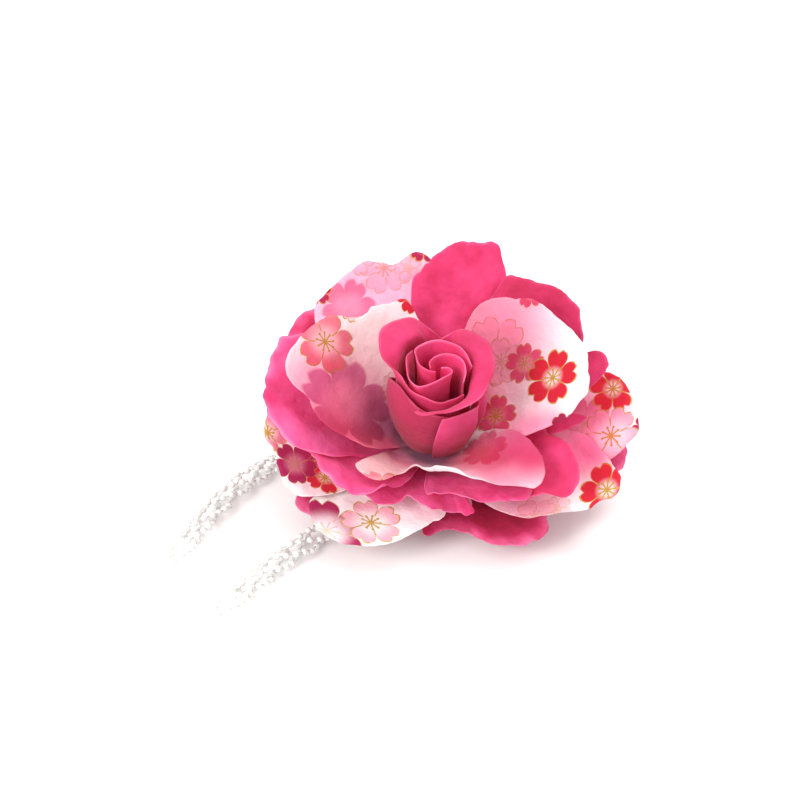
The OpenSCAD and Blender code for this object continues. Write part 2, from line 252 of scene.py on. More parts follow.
def stitch(start, end):
    """One thread stitch: a small bar, thickest in its middle."""
    way = (end - start) / np.linalg.norm(end - start)
    side = np.cross(way, [0, 0, 1.0])
    side /= np.linalg.norm(side)
    rise = np.cross(side, way)
    points = []
    for share in np.linspace(0, 1, STITCH_RINGS):
        radius = STITCH_THICK * (0.4 + 0.6 * math.sin(math.pi * share))
        for k in range(STITCH_SIDES):
            turn = 2 * math.pi * k / STITCH_SIDES
            spoke = math.cos(turn) * side + math.sin(turn) * rise
            points.append(start + (end - start) * share + radius * spoke)
    return on_flower(np.array(points)), ring_faces(STITCH_RINGS, STITCH_SIDES)


felt, tree, surface = new_finish("pink_felt")
clumps = speckle(tree, 320.0, 3.0)
two_tones(tree, surface, clumps, (0.50, 0.035, 0.14), (0.72, 0.09, 0.25), span=(0.3, 0.7))
relief(tree, surface, speckle(tree, 1900.0, 6.0, rough=0.7), 0.7, 0.0002)
set_sockets(surface, {"Roughness": 0.95, "Sheen Weight": 0.5, "Specular IOR Level": 0.15})

base_profile = [
    (0.5, PAD_LOW), (PAD_HALF * 0.5, PAD_LOW), (PAD_HALF - 0.7, PAD_LOW), (PAD_HALF - 0.2, PAD_LOW + 0.3),
    (PAD_HALF, PAD_LOW + 0.8), (PAD_HALF - 0.2, PAD_TOP - 0.3), (PAD_HALF - 0.7, PAD_TOP),
    (STEM_FOOT + 0.6, PAD_TOP), (STEM_FOOT + 0.1, PAD_TOP + 0.4), (STEM_FOOT - 0.1, 1.0),
    (STEM_HEAD + 0.3, 7.0), (STEM_HEAD, STEM_TOP - 0.6), (STEM_HEAD - 0.6, STEM_TOP), (0.5, STEM_TOP),
]
parts = [spun(base_profile, PAD_SIDES, PAD_WOBBLE), rounded_block(BLOCK_LOW, BLOCK_SIZE, BLOCK_EDGE)]
for k in range(STITCHES):
    turn = 2 * math.pi * k / STITCHES
    ray = np.array([math.cos(turn), math.sin(turn)])
    lean = np.array([-ray[1], ray[0]]) * 0.5
    inner = np.array([*(ray * (PAD_HALF - 2.4) - lean), PAD_LOW - 0.05])
    outer = np.array([*(ray * (PAD_HALF - 0.5) + lean), PAD_LOW - 0.05])
    parts.append(stitch(inner, outer))
base_points, base_faces = [], []
for points, faces in parts:
    base_faces.extend(tuple(len(base_points) + k for k in face) for face in faces)
    base_points.extend((points * MM).tolist())
base_mesh = bpy.data.meshes.new("felt_base")
base_mesh.from_pydata(base_points, [], base_faces)
base_mesh.materials.append(felt)
base_mesh.polygons.foreach_set("use_smooth", [True] * len(base_mesh.polygons))
fix = bmesh.new()
fix.from_mesh(base_mesh)
bmesh.ops.recalc_face_normals(fix, faces=fix.faces[:])
fix.to_mesh(base_mesh)
fix.free()
felt_base = new_object("felt_base", base_mesh)
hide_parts("flower_base")
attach(felt_base, "root")


# The lowest petals are hot pink satin, cut as single petals with a hot knife, ruffled at the
# rim and stitched to the stem. They hold the whole rose up off the table.
# Each petal is a piece of a shallow bowl round the flower's axis that laps its neighbours.
CLOTH_THICK = 0.3
CLOTH_CELLS = (150, 40)
CLOTH_TURN = math.radians(84)
SIDE_TURN = math.radians(81)
APEX_R = 1.0
ROOT_CUT = 5.0
SHORTEST = ROOT_CUT + 2.5
SLOPE_RUN = 52.0
STRETCH_LIMITS = (0.6, 1.45)
FIT_TRIALS = (90, 60)
FIT_SIDES = 0.985
FIT_NUDGE = 1e-4
FIT_STEP = 0.03
FIT_FADE = 0.18
NICK_HIGH, NICK_LONG = 0.14, 2.2
SCALLOP_HIGH, SCALLOP_LONG = 0.45, 8.0
FLARE_HIGH, FLARE_LONG = 1.1, 12.0
CRIMP_HIGH, CRIMP_LONG = 0.5, 5.0
FOLD_HIGH, FOLD_LONG = 1.1, 12.0
CREASE_HIGH, CREASE_LONG = 0.55, 5.0
CUT_FAN = 0.93
LEAST_CUT, WIDEST_CUT = 0.305, 0.35
WARP_PITCH, WEFT_PITCH = 0.22, 0.26
SATIN_SHEER = 0.38


def bent(slope, bend, along):
    """Run, rise and slope of a curve that starts at slope and turns evenly, in degrees."""
    a = np.radians(slope)
    b = np.radians(bend)
    flat = np.abs(b) < 1e-6
    b = np.where(flat, 1e-6, b)
    run = np.where(flat, along * np.cos(a), (np.sin(a + b * along) - np.sin(a)) / b)
    rise = np.where(flat, along * np.sin(a), (np.cos(a) - np.cos(a + b * along)) / b)
    return run, rise, a + b * along


def rim_by_rule(petal, across):
    """Length of a petal at a place across it, from -1 to 1, before the photograph corrects it."""
    u = np.arcsin(np.clip(across, -1, 1)) / SIDE_TURN
    phase = petal["phase"]
    wander = 1 + 0.025 * np.sin(5 * u + phase) + 0.015 * np.sin(11 * u + 2 * phase)
    arch = np.cos(np.clip(across, -0.9995, 0.9995) * math.pi / 2) ** petal.get("blunt", 0.35)
    return petal["reach"] * arch * wander * (1 + petal.get("skew", 0) * across)


def petal_wall(petal, layer, across, along, share):
    """A point of a petal's cloth, in millimetres: across it, along it from its apex, and how
    far that is on the way from its root to its rim."""
    u = np.arcsin(np.clip(across, -1, 1)) / SIDE_TURN
    phi = np.radians(petal["azimuth"] + petal["half"] * across)
    back = ((1 + np.sin(phi)) / 2) ** 1.3
    slope_root = layer["front_root"] + (layer["back_root"] - layer["front_root"]) * back
    slope_rim = layer["front_rim"] + (layer["back_rim"] - layer["front_rim"]) * back
    run, rise, slope = bent(slope_root, (slope_rim - slope_root) / SLOPE_RUN, along)
    phase, waves = petal["phase"], petal.get("waves", layer["waves"])
    wave = np.sin(math.pi * waves * u + phase)
    wave = wave + 0.5 * np.sin(1.7 * math.pi * waves * u + 2.1 * phase + 1)
    off = petal.get("ramp", layer["ramp"]) * np.radians(petal["half"] * across) - petal.get("sink", 0)
    off = off + petal.get("lift", 0) * share**3 * (1 - across**2) ** 2
    off = off + petal["ruffle"] * share**2 * (1 - 0.7 * across**2) * wave
    for middle, width, start, height in petal.get("curls", ()):
        near = np.exp(-(((across - middle) / width) ** 2))
        off = off + height * near * np.clip((share - start) / (1 - start), 0, 1) ** 2
    r = APEX_R + run - off * np.sin(slope)
    z = layer["root_z"] + rise + off * np.cos(slope)
    return on_flower(np.stack([r * np.cos(phi), r * np.sin(phi), z], -1))


def fit_to_photo(place_of, rim_pixels, longest):
    """How much longer or shorter than its rule the rim is, so that it passes the given pixels.
    place_of(across, stretch) is a point of the rim. Returns a function of across."""
    if not rim_pixels:
        return np.ones_like
    sides = np.linspace(-FIT_SIDES, FIT_SIDES, FIT_TRIALS[0])
    across, stretch = np.meshgrid(sides, np.linspace(*longest, FIT_TRIALS[1]), indexing="ij")
    seen = on_photo(place_of(across, stretch))
    found = []
    for pixel in rim_pixels:
        gap = np.linalg.norm(seen - np.array(pixel), axis=-1)
        best = np.unravel_index(np.argmin(gap), gap.shape)
        w, k = across[best], stretch[best]
        for _ in range(4):
            here = on_photo(place_of(w, k))
            by_w = (on_photo(place_of(w + FIT_NUDGE, k)) - here) / FIT_NUDGE
            by_k = (on_photo(place_of(w, k + FIT_NUDGE)) - here) / FIT_NUDGE
            ways = np.array([by_w, by_k]).T
            if abs(np.linalg.det(ways)) < 1e-3:
                break
            step = np.clip(np.linalg.solve(ways, np.array(pixel) - here), -FIT_STEP, FIT_STEP)
            w = float(np.clip(w + step[0], -FIT_SIDES, FIT_SIDES))
            k = float(np.clip(k + step[1], *longest))
        found.append((w, k))
    ws, ks = np.array(sorted(found)).T
    places = np.linspace(-1, 1, 801)
    values = np.interp(places, ws, ks)
    below = np.clip((ws[0] - places) / FIT_FADE, 0, 1)
    beyond = np.clip((places - ws[-1]) / FIT_FADE, 0, 1)
    values = values + (1 - values) * np.maximum(below, beyond)
    window = np.exp(-(np.linspace(-2, 2, 15) ** 2))
    values = np.convolve(np.pad(values, 7, mode="edge"), window / window.sum(), "valid")
    return lambda w: np.interp(w, places, values)


def waves_along(distance, length, seed):
    """Waves that wander irregularly along a rim, about -1 to 1."""
    places = [Vector((step * 1.5 / length, seed * 3.7, 0.5)) for step in distance]
    return np.array([1.8 * noise.noise(place) for place in places])


def crinkle(points, way, amount, size, seed):
    """Moves a grid of points along way by smooth noise."""
    shift = np.empty(points.shape[:2])
    origin = Vector((seed * 7.3, seed * 3.1, seed * 1.7))
    for i in range(points.shape[0]):
        for j in range(points.shape[1]):
            shift[i, j] = noise.noise(Vector(points[i, j]) / size + origin)
    return points + way * (shift * amount)[..., None]


def facing(points):
    """The way each point of a grid of cloth faces."""
    way = np.cross(np.gradient(points, axis=0), np.gradient(points, axis=1))
    return way / np.maximum(np.linalg.norm(way, axis=-1, keepdims=True), 1e-9)


def cloth_mesh(name, points, flat, rim_gap, finish):
    """A closed thin wall from a grid of points, with the flat cut as its UV map in millimetres
    and the distance from the rim as an attribute."""
    half_wall = facing(points) * CLOTH_THICK / 2
    both = np.concatenate([(points + half_wall).reshape(-1, 3), (points - half_wall).reshape(-1, 3)])
    count = points.shape[0] * points.shape[1]
    index = np.arange(count).reshape(points.shape[:2])
    a, b = index[:-1, :-1].ravel(), index[1:, :-1].ravel()
    c, d = index[1:, 1:].ravel(), index[:-1, 1:].ravel()
    upper = np.stack([a, b, c, d], -1)
    lower = np.stack([a, d, c, b], -1) + count
    ring = np.concatenate([index[:, 0], index[-1, 1:], index[-2::-1, -1], index[0, -2:0:-1]])
    following = np.roll(ring, -1)
    edge = np.stack([ring, ring + count, following + count, following], -1)
    mesh = bpy.data.meshes.new(name)
    mesh.from_pydata((both * MM).tolist(), [], np.concatenate([upper, lower, edge]).tolist())
    corners = np.empty(len(mesh.loops), dtype=np.int32)
    mesh.loops.foreach_get("vertex_index", corners)
    cut = mesh.uv_layers.new(name="cut")
    cut.data.foreach_set("uv", flat.reshape(-1, 2)[corners % count].astype(np.float32).ravel())
    gap = mesh.attributes.new("rim_gap", "FLOAT", "POINT")
    gap.data.foreach_set("value", np.tile(rim_gap.ravel(), 2).astype(np.float32))
    mesh.materials.append(finish)
    mesh.polygons.foreach_set("use_smooth", [True] * len(mesh.polygons))
    mesh.update()
    return new_object(name, mesh)


def declare_cloth(made, points, node):
    """Hides the solid that the cloth stands for and hangs the cloth on the root body. It works out the size
    the cloth was cut to, a little smaller than the stretched cloth and no wider than its area allows, but
    nothing uses it."""
    width = np.linalg.norm(np.diff(points, axis=0), axis=-1).sum(axis=0).max()
    length = np.linalg.norm(np.diff(points, axis=1), axis=-1).sum(axis=1).max()
    a, b, c, d = points[:-1, :-1], points[1:, :-1], points[1:, 1:], points[:-1, 1:]
    area = np.linalg.norm(np.cross(c - a, d - b), axis=-1).sum() / 2
    width = min(width, area / length / WIDEST_CUT)
    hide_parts(node)
    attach(made, "root")


def petal_grid(petal, layer, seed):
    """The cloth of one petal: its points, its flat cut, and each point's distance from the rim."""
    across = np.sin(CLOTH_TURN * np.linspace(-1, 1, CLOTH_CELLS[0] + 1))

    def rim_place(w, k):
        along = np.maximum(rim_by_rule(petal, w) * k, SHORTEST)
        return petal_wall(petal, layer, w, along, np.ones_like(along))

    stretch = fit_to_photo(rim_place, petal.get("rim", ()), petal.get("longest", STRETCH_LIMITS))
    rim = np.maximum(rim_by_rule(petal, across) * stretch(across), SHORTEST)
    edge = petal_wall(petal, layer, across, rim, np.ones_like(rim))
    walked = np.concatenate([[0], np.cumsum(np.linalg.norm(np.diff(edge, axis=0), axis=-1))])
    frill = petal.get("frill", 0.5)
    nicks = NICK_HIGH * waves_along(walked, NICK_LONG, seed)
    rim = rim + nicks + SCALLOP_HIGH * frill * waves_along(walked, SCALLOP_LONG, seed + 50)
    share = np.linspace(0, 1, CLOTH_CELLS[1] + 1) ** 0.9
    along = ROOT_CUT + (rim[:, None] - ROOT_CUT) * share[None, :]
    w = np.broadcast_to(across[:, None], along.shape)
    v = np.broadcast_to(share[None, :], along.shape)
    points = petal_wall(petal, layer, w, along, v)
    way = facing(points)
    flare = FLARE_HIGH * frill * waves_along(walked, FLARE_LONG, seed + 100)[:, None] * v**4
    crimp = CRIMP_HIGH * frill * waves_along(walked, CRIMP_LONG, seed + 150)[:, None] * v**8
    points = points + way * (flare + crimp)[..., None]
    crease = petal.get("crease", 1.0)
    points = crinkle(points, way, FOLD_HIGH * crease, FOLD_LONG, seed)
    points = crinkle(points, way, CREASE_HIGH * crease, CREASE_LONG, seed + 0.5)
    turn = np.radians(petal["half"] * w) * CUT_FAN
    flat = np.stack([along * np.sin(turn), along * np.cos(turn)], -1)
    return points, flat, rim[:, None] - along


def calc(tree, operation, a, b=0.0, c=0.0):
    return shader_node(tree, "ShaderNodeMath", {0: a, 1: b, 2: c}, operation=operation).outputs[0]


def blend_colours(tree, factor, a, b, way="MIX"):
    made = shader_node(tree, "ShaderNodeMix", {0: factor, 6: a, 7: b}, data_type="RGBA", blend_type=way)
    return made.outputs[2]


def ranged(tree, value, low, high, to_low=0.0, to_high=1.0, way="LINEAR"):
    """A value spread from low..high to to_low..to_high, and held there beyond."""
    span = {"Value": value, "From Min": low, "From Max": high, "To Min": to_low, "To Max": to_high}
    return shader_node(tree, "ShaderNodeMapRange", span, interpolation_type=way).outputs[0]


def cloth_noise(tree, cut, scale, rough=0.5):
    grain = {"Vector": cut, "Scale": scale, "Detail": 3.0, "Roughness": rough}
    return shader_node(tree, "ShaderNodeTexNoise", grain).outputs[0]


def satin(tree, surface, cut, colour, sheer):
    """Satin cloth: fine weave and soft creases in relief, a pale sheen, and light that passes
    through. The cloth reflects and lets through one colour, and sheer is the share let through."""
    x, y = shader_node(tree, "ShaderNodeSeparateXYZ", {0: cut}).outputs[:2]
    warp = calc(tree, "SINE", calc(tree, "MULTIPLY", x, 2 * math.pi / WARP_PITCH))
    weft = calc(tree, "SINE", calc(tree, "MULTIPLY", y, 2 * math.pi / WEFT_PITCH))
    creases = calc(tree, "MULTIPLY", cloth_noise(tree, cut, 0.20), 0.9)
    heights = calc(tree, "MULTIPLY_ADD", calc(tree, "MULTIPLY", warp, weft), 0.012, creases)
    normal = relief(tree, surface, heights, 0.8, 0.0012)
    tree.links.new(colour, surface.inputs["Base Color"])
    set_sockets(surface, {
        "Roughness": 0.62, "Specular IOR Level": 0.25, "Sheen Weight": 0.22, "Sheen Roughness": 0.45,
        "Sheen Tint": (1.0, 0.82, 0.9, 1),
    })
    through = shader_node(tree, "ShaderNodeBsdfTranslucent", {"Color": colour, "Normal": normal})
    shares = {0: sheer, 1: surface.outputs[0], 2: through.outputs[0]}
    both = shader_node(tree, "ShaderNodeMixShader", shares)
    tree.links.new(both.outputs[0], tree.nodes["Material Output"].inputs["Surface"])


def pink_satin(name, deep, bright, rim_light, rim_highlight_width=1.0, fold_shade=None, fold_shade_depth=None):
    """Dyed satin: two tones that drift over the cloth, a paler rim band that is partly the heat-cut edge and
    partly a painted highlight, and painted shade that darkens the colour deeper in from the rim, from one
    distance to another."""
    finish, tree, surface = new_finish(name)
    cut = shader_node(tree, "ShaderNodeUVMap", uv_map="cut").outputs[0]
    drift = ranged(tree, cloth_noise(tree, cut, 0.075, 0.55), 0.36, 0.64)
    dyed = blend_colours(tree, drift, (*deep, 1), (*bright, 1))
    gap = shader_node(tree, "ShaderNodeAttribute", attribute_name="rim_gap").outputs["Fac"]
    # Painted shade: the colour darkens towards the fold shade deeper in from the rim.
    if fold_shade:
        dyed = blend_colours(tree, ranged(tree, gap, *fold_shade_depth), dyed, (*fold_shade, 1))
    # Painted highlight: a paler band along the rim, partly the heat-cut edge itself.
    rim = calc(tree, "MULTIPLY", ranged(tree, gap, 0.0, rim_highlight_width, 0.55, 0.0), drift)
    satin(tree, surface, cut, blend_colours(tree, rim, dyed, (*rim_light, 1)), SATIN_SHEER)
    return finish


def pink_petal(petal, layer, place_in_layer, finish):
    points, flat, gap = petal_grid(petal, layer, layer["seed"] + place_in_layer)
    made = cloth_mesh(petal["name"] + "_petal", points, flat, gap, finish)
    declare_cloth(made, points, petal["name"])


low_layer = {"root_z": 1.4, "front_root": -2, "front_rim": -2, "back_root": 12, "back_rim": 22,
             "ramp": 1.4, "waves": 2.5, "seed": 1}
low_petals = [
    {"name": "low_front", "azimuth": -58, "reach": 35, "half": 50, "ruffle": 0.5, "phase": 0.5,
     "skew": 0.35, "frill": 0.9,
     "rim": [(422, 535), (430, 535), (440, 532), (452, 530), (466, 531), (480, 538), (492, 544), (504, 546),
             (520, 545), (533, 540), (539, 540), (548, 533), (550, 527), (547, 518)]},
    {"name": "low_left", "azimuth": -156, "reach": 38, "half": 36, "ruffle": 0.6, "phase": 1.5,
     "rim": [(296, 498), (297, 506), (303, 512), (312, 516)]},
    {"name": "low_back", "azimuth": 134, "reach": 58, "half": 38, "ruffle": 0.6, "phase": 2.5,
     "rim": [(315, 308), (303, 313), (296, 319), (293, 327)]},
    {"name": "low_right", "azimuth": 66, "reach": 54, "half": 38, "ruffle": 0.6, "phase": 3.5},
    {"name": "low_side", "azimuth": 3, "reach": 54, "half": 34, "ruffle": 0.5, "phase": 4.5,
     "rim": [(618, 469), (623, 469), (626, 458), (627, 449)]},
]
# The low petals get painted shade deep under their ruffles and a wide painted highlight along their rims.
low_pink = pink_satin(
    "low_pink_satin", (0.72, 0.032, 0.15), (0.94, 0.10, 0.34), (0.98, 0.48, 0.76), rim_highlight_width=4.5,
    fold_shade=(0.46, 0.018, 0.07), fold_shade_depth=(2.0, 8.0),
)
for k, petal in enumerate(low_petals):
    pink_petal(petal, low_layer, k, low_pink)


# The outer petals are white satin with a traditional scattered cherry blossom print in pink,
# red and gold. They are cut and stitched like the others and lie on the lowest pink ones.
# The print follows the cloth. Its blossoms are placed by where they come in the photograph.
BLOSSOM_PETALS = 5
STAMENS = 9
GOLD_LINE = 0.24
NOTCH_AT = 0.88
SEAM_FROM = 0.34
STAMEN_LONG = 0.27
STAMEN_TIP_AT = 0.30
SAME_FOLD_PX = 3
FOLD_DEEP = 2.5
SATIN_WHITE = (0.96, 0.95, 0.94, 1)
GOLD_INK = (0.58, 0.40, 0.07)
# Each blossom dye is the colour of its heart, that of its petals, and how far out the heart fades.
BLOSSOM_DYES = {
    "salmon": ((0.95, 0.70, 0.74), (0.84, 0.25, 0.33), 0.75),
    "pale": ((0.96, 0.92, 0.90), (0.92, 0.48, 0.58), 0.85),
    "red": ((0.95, 0.86, 0.82), (0.70, 0.014, 0.045), 0.50),
    "magenta": ((0.66, 0.20, 0.33), (0.42, 0.014, 0.10), 0.65),
    "dusk": ((0.95, 0.82, 0.87), (0.42, 0.014, 0.10), 0.80),
    "rose": ((0.88, 0.46, 0.54), (0.74, 0.12, 0.24), 0.60),
    "veil": ((0.92, 0.66, 0.78), (0.72, 0.30, 0.50), 0.75),
    "haze": ((0.92, 0.55, 0.64), (0.86, 0.34, 0.48), 0.75),
    "line": ((0.93, 0.84, 0.84), (0.93, 0.76, 0.78), 0.75),
}
# Cloud colours: the pinks and reds are painted pink show-through and reflected light, partly the print's own
# dyed shading. The grey and plum ones are painted shade.
CLOUD_TINT_AND_SHADE = {
    "pink": (0.97, 0.36, 0.56), "rose": (0.88, 0.13, 0.28), "deep": (0.76, 0.11, 0.28),
    "hot": (0.97, 0.17, 0.38), "blush": (0.98, 0.62, 0.66), "grey_shade": (0.78, 0.70, 0.63),
    "plum_shade": (0.42, 0.14, 0.30),
}


def blossom_group():
    """Node group that prints one five-petalled cherry blossom, with notched tips, a gold
    outline and gold stamens, over the colour that it is given. Lengths are in radii."""
    group = bpy.data.node_groups.new("cherry_blossom", "ShaderNodeTree")
    for kind, names in (
        ("Vector", ("Cloth",)), ("Color", ("Ground", "Heart", "Tip")),
        ("Float", ("Middle X", "Middle Y", "Radius", "Turn", "Heart Size", "Ink", "Blur")),
    ):
        for name in names:
            group.interface.new_socket(name=name, in_out="INPUT", socket_type="NodeSocket" + kind)
    group.interface.new_socket(name="Print", in_out="OUTPUT", socket_type="NodeSocketColor")
    given = group.nodes.new("NodeGroupInput").outputs
    result = group.nodes.new("NodeGroupOutput").inputs

    def maths(operation, a, b=0.0, c=0.0):
        return calc(group, operation, a, b, c)

    def times(a, b):
        return maths("MULTIPLY", a, b)

    def minus(a, b):
        return maths("SUBTRACT", a, b)

    def under(a, b):
        return maths("LESS_THAN", a, b)

    def span(a, b):
        return maths("SQRT", maths("MULTIPLY_ADD", a, a, times(b, b)))

    def around(count):
        """How far round from the middle of the nearest of count even sectors, -0.5 to 0.5."""
        return minus(maths("FRACT", times(angle, count / (2 * math.pi))), 0.5)

    x, y = shader_node(group, "ShaderNodeSeparateXYZ", {0: given["Cloth"]}).outputs[:2]
    dx = minus(x, given["Middle X"])
    dy = minus(y, given["Middle Y"])
    r = maths("DIVIDE", span(dx, dy), given["Radius"])
    thin = maths("DIVIDE", GOLD_LINE, given["Radius"])
    angle = maths("ADD", maths("ARCTAN2", dy, dx), given["Turn"])

    side = times(maths("ABSOLUTE", around(BLOSSOM_PETALS)), 2.0)
    swell = maths("POWER", minus(1.0, maths("POWER", side, 2.6)), 0.50)
    notch = maths("MAXIMUM", minus(1.0, maths("DIVIDE", side, 0.24)), 0.0)
    edge = minus(maths("MULTIPLY_ADD", swell, 0.50, 0.50), times(notch, 0.15))
    inside = maths("ADD", maths("DIVIDE", minus(edge, r), given["Blur"]), 0.5)
    inside = maths("MAXIMUM", maths("MINIMUM", inside, 1.0), 0.0)

    worn = ranged(group, cloth_noise(group, given["Cloth"], 0.33), 0.36, 0.50, 0.15)
    outline = times(under(maths("ABSOLUTE", minus(r, edge)), thin), worn)
    seam = under(times(minus(1.0, side), times(r, math.pi / BLOSSOM_PETALS)), times(thin, 0.8))
    seam = times(seam, times(maths("GREATER_THAN", r, SEAM_FROM), inside))
    sway = times(times(around(STAMENS), r), 2 * math.pi / STAMENS)
    thread = times(under(maths("ABSOLUTE", sway), times(thin, 0.95)), under(r, STAMEN_LONG))
    dot = under(span(minus(r, STAMEN_TIP_AT), sway), times(thin, 1.6))
    drawn = maths("MAXIMUM", maths("MAXIMUM", outline, seam), maths("MAXIMUM", thread, dot))

    outward = maths("DIVIDE", r, given["Heart Size"])
    fade = ranged(group, outward, 0.3, 1.0, way="SMOOTHSTEP")
    leaf = blend_colours(group, fade, given["Heart"], given["Tip"])
    printed = blend_colours(group, inside, given["Ground"], leaf)
    printed = blend_colours(group, times(drawn, given["Ink"]), printed, (*GOLD_INK, 1))
    group.links.new(printed, result["Print"])
    return group


cherry_blossom = blossom_group()


def cloth_place(points, flat, pixel):
    """Where on its flat cut a piece of cloth is met at a pixel of the photograph. Where the cloth
    is folded, that is on the fold nearest the camera."""
    seen = on_photo(points)
    gap = np.linalg.norm(seen - np.array(pixel), axis=-1)
    away = np.linalg.norm(points - CAMERA_AT, axis=-1)
    nearest = away[gap < gap.min() + SAME_FOLD_PX].min()
    on_fold = np.where(away < nearest + FOLD_DEEP, gap, np.inf)
    i, j = np.unravel_index(np.argmin(on_fold), gap.shape)
    i0, i1 = max(i - 1, 0), min(i + 1, gap.shape[0] - 1)
    j0, j1 = max(j - 1, 0), min(j + 1, gap.shape[1] - 1)
    ways = np.stack([seen[i1, j] - seen[i0, j], seen[i, j1] - seen[i, j0]], -1)
    steps = np.linalg.lstsq(ways, np.array(pixel) - seen[i, j], rcond=None)[0]
    return flat[i, j] + (flat[i1, j] - flat[i0, j]) * steps[0] + (flat[i, j1] - flat[i, j0]) * steps[1]


def print_blossom(tree, cut, ground, points, flat, middle_px, notch_px, dye, ink=1, blur=0.03):
    """One blossom on a ground colour. Its middle and the notch of one petal come at pixels of
    the photograph. Ink is how strong its gold is, and blur how soft its edge."""
    x, y = map(float, cloth_place(points, flat, middle_px))
    notch_x, notch_y = map(float, cloth_place(points, flat, notch_px))
    heart, tip, heart_size = BLOSSOM_DYES[dye]
    return shader_node(tree, "ShaderNodeGroup", {
        "Cloth": cut, "Ground": ground, "Middle X": x, "Middle Y": y,
        "Radius": math.hypot(notch_x - x, notch_y - y) / NOTCH_AT,
        "Turn": math.pi / BLOSSOM_PETALS - math.atan2(notch_y - y, notch_x - x),
        "Heart": (*heart, 1), "Tip": (*tip, 1), "Heart Size": heart_size, "Ink": ink, "Blur": blur,
    }, node_tree=cherry_blossom).outputs["Print"]


def printed_satin(name, points, flat, blossoms, sheer):
    """White satin with its blossoms, and over them a painted tint: pink show-through and reflected light,
    and painted shade, partly the print's own dyed shading.
    """
    finish, tree, surface = new_finish(name)
    cut = shader_node(tree, "ShaderNodeUVMap", uv_map="cut").outputs[0]
    shown = SATIN_WHITE
    for blossom in blossoms:
        shown = print_blossom(tree, cut, shown, points, flat, *blossom)
    tint = shader_node(tree, "ShaderNodeAttribute", attribute_name="pink_tint").outputs["Color"]
    satin(tree, surface, cut, blend_colours(tree, 1.0, shown, tint, "MULTIPLY"), sheer)
    return finish


def paint_tint_and_shade(made, points, flat, clouds):
    """Paints soft clouds of colour on the cloth, each round a pixel: (pixel, radius in millimetres,
    strength). They are partly the print's own dyed shading and mostly painted light: pink light showing
    through from the petals behind and reflected from those beside, and painted shade in the grey and plum
    ones. Clouds of the same colour run together."""
    grid = np.ones((*points.shape[:2], 4))
    for dye, colour in CLOUD_TINT_AND_SHADE.items():
        bare = np.ones(points.shape[:2])
        for pixel, radius, strength in clouds.get(dye, ()):
            gap = np.linalg.norm(flat - cloth_place(points, flat, pixel), axis=-1) / radius
            bare = bare * (1 - strength / (1 + gap**4))
        grid[..., :3] *= 1 + (np.array(colour) - 1) * (1 - bare)[..., None]
    tint = made.data.attributes.new("pink_tint", "FLOAT_COLOR", "POINT")
    tint.data.foreach_set("color", np.tile(grid.reshape(-1, 4), (2, 1)).astype(np.float32).ravel())


def printed_petal(petal, layer, place_in_layer):
    points, flat, gap = petal_grid(petal, layer, layer["seed"] + place_in_layer)
    finish = printed_satin(petal["name"] + "_print", points, flat, petal["blossoms"], layer["sheer"])
    made = cloth_mesh(petal["name"] + "_petal", points, flat, gap, finish)
    paint_tint_and_shade(made, points, flat, petal["clouds"])
    declare_cloth(made, points, petal["name"])


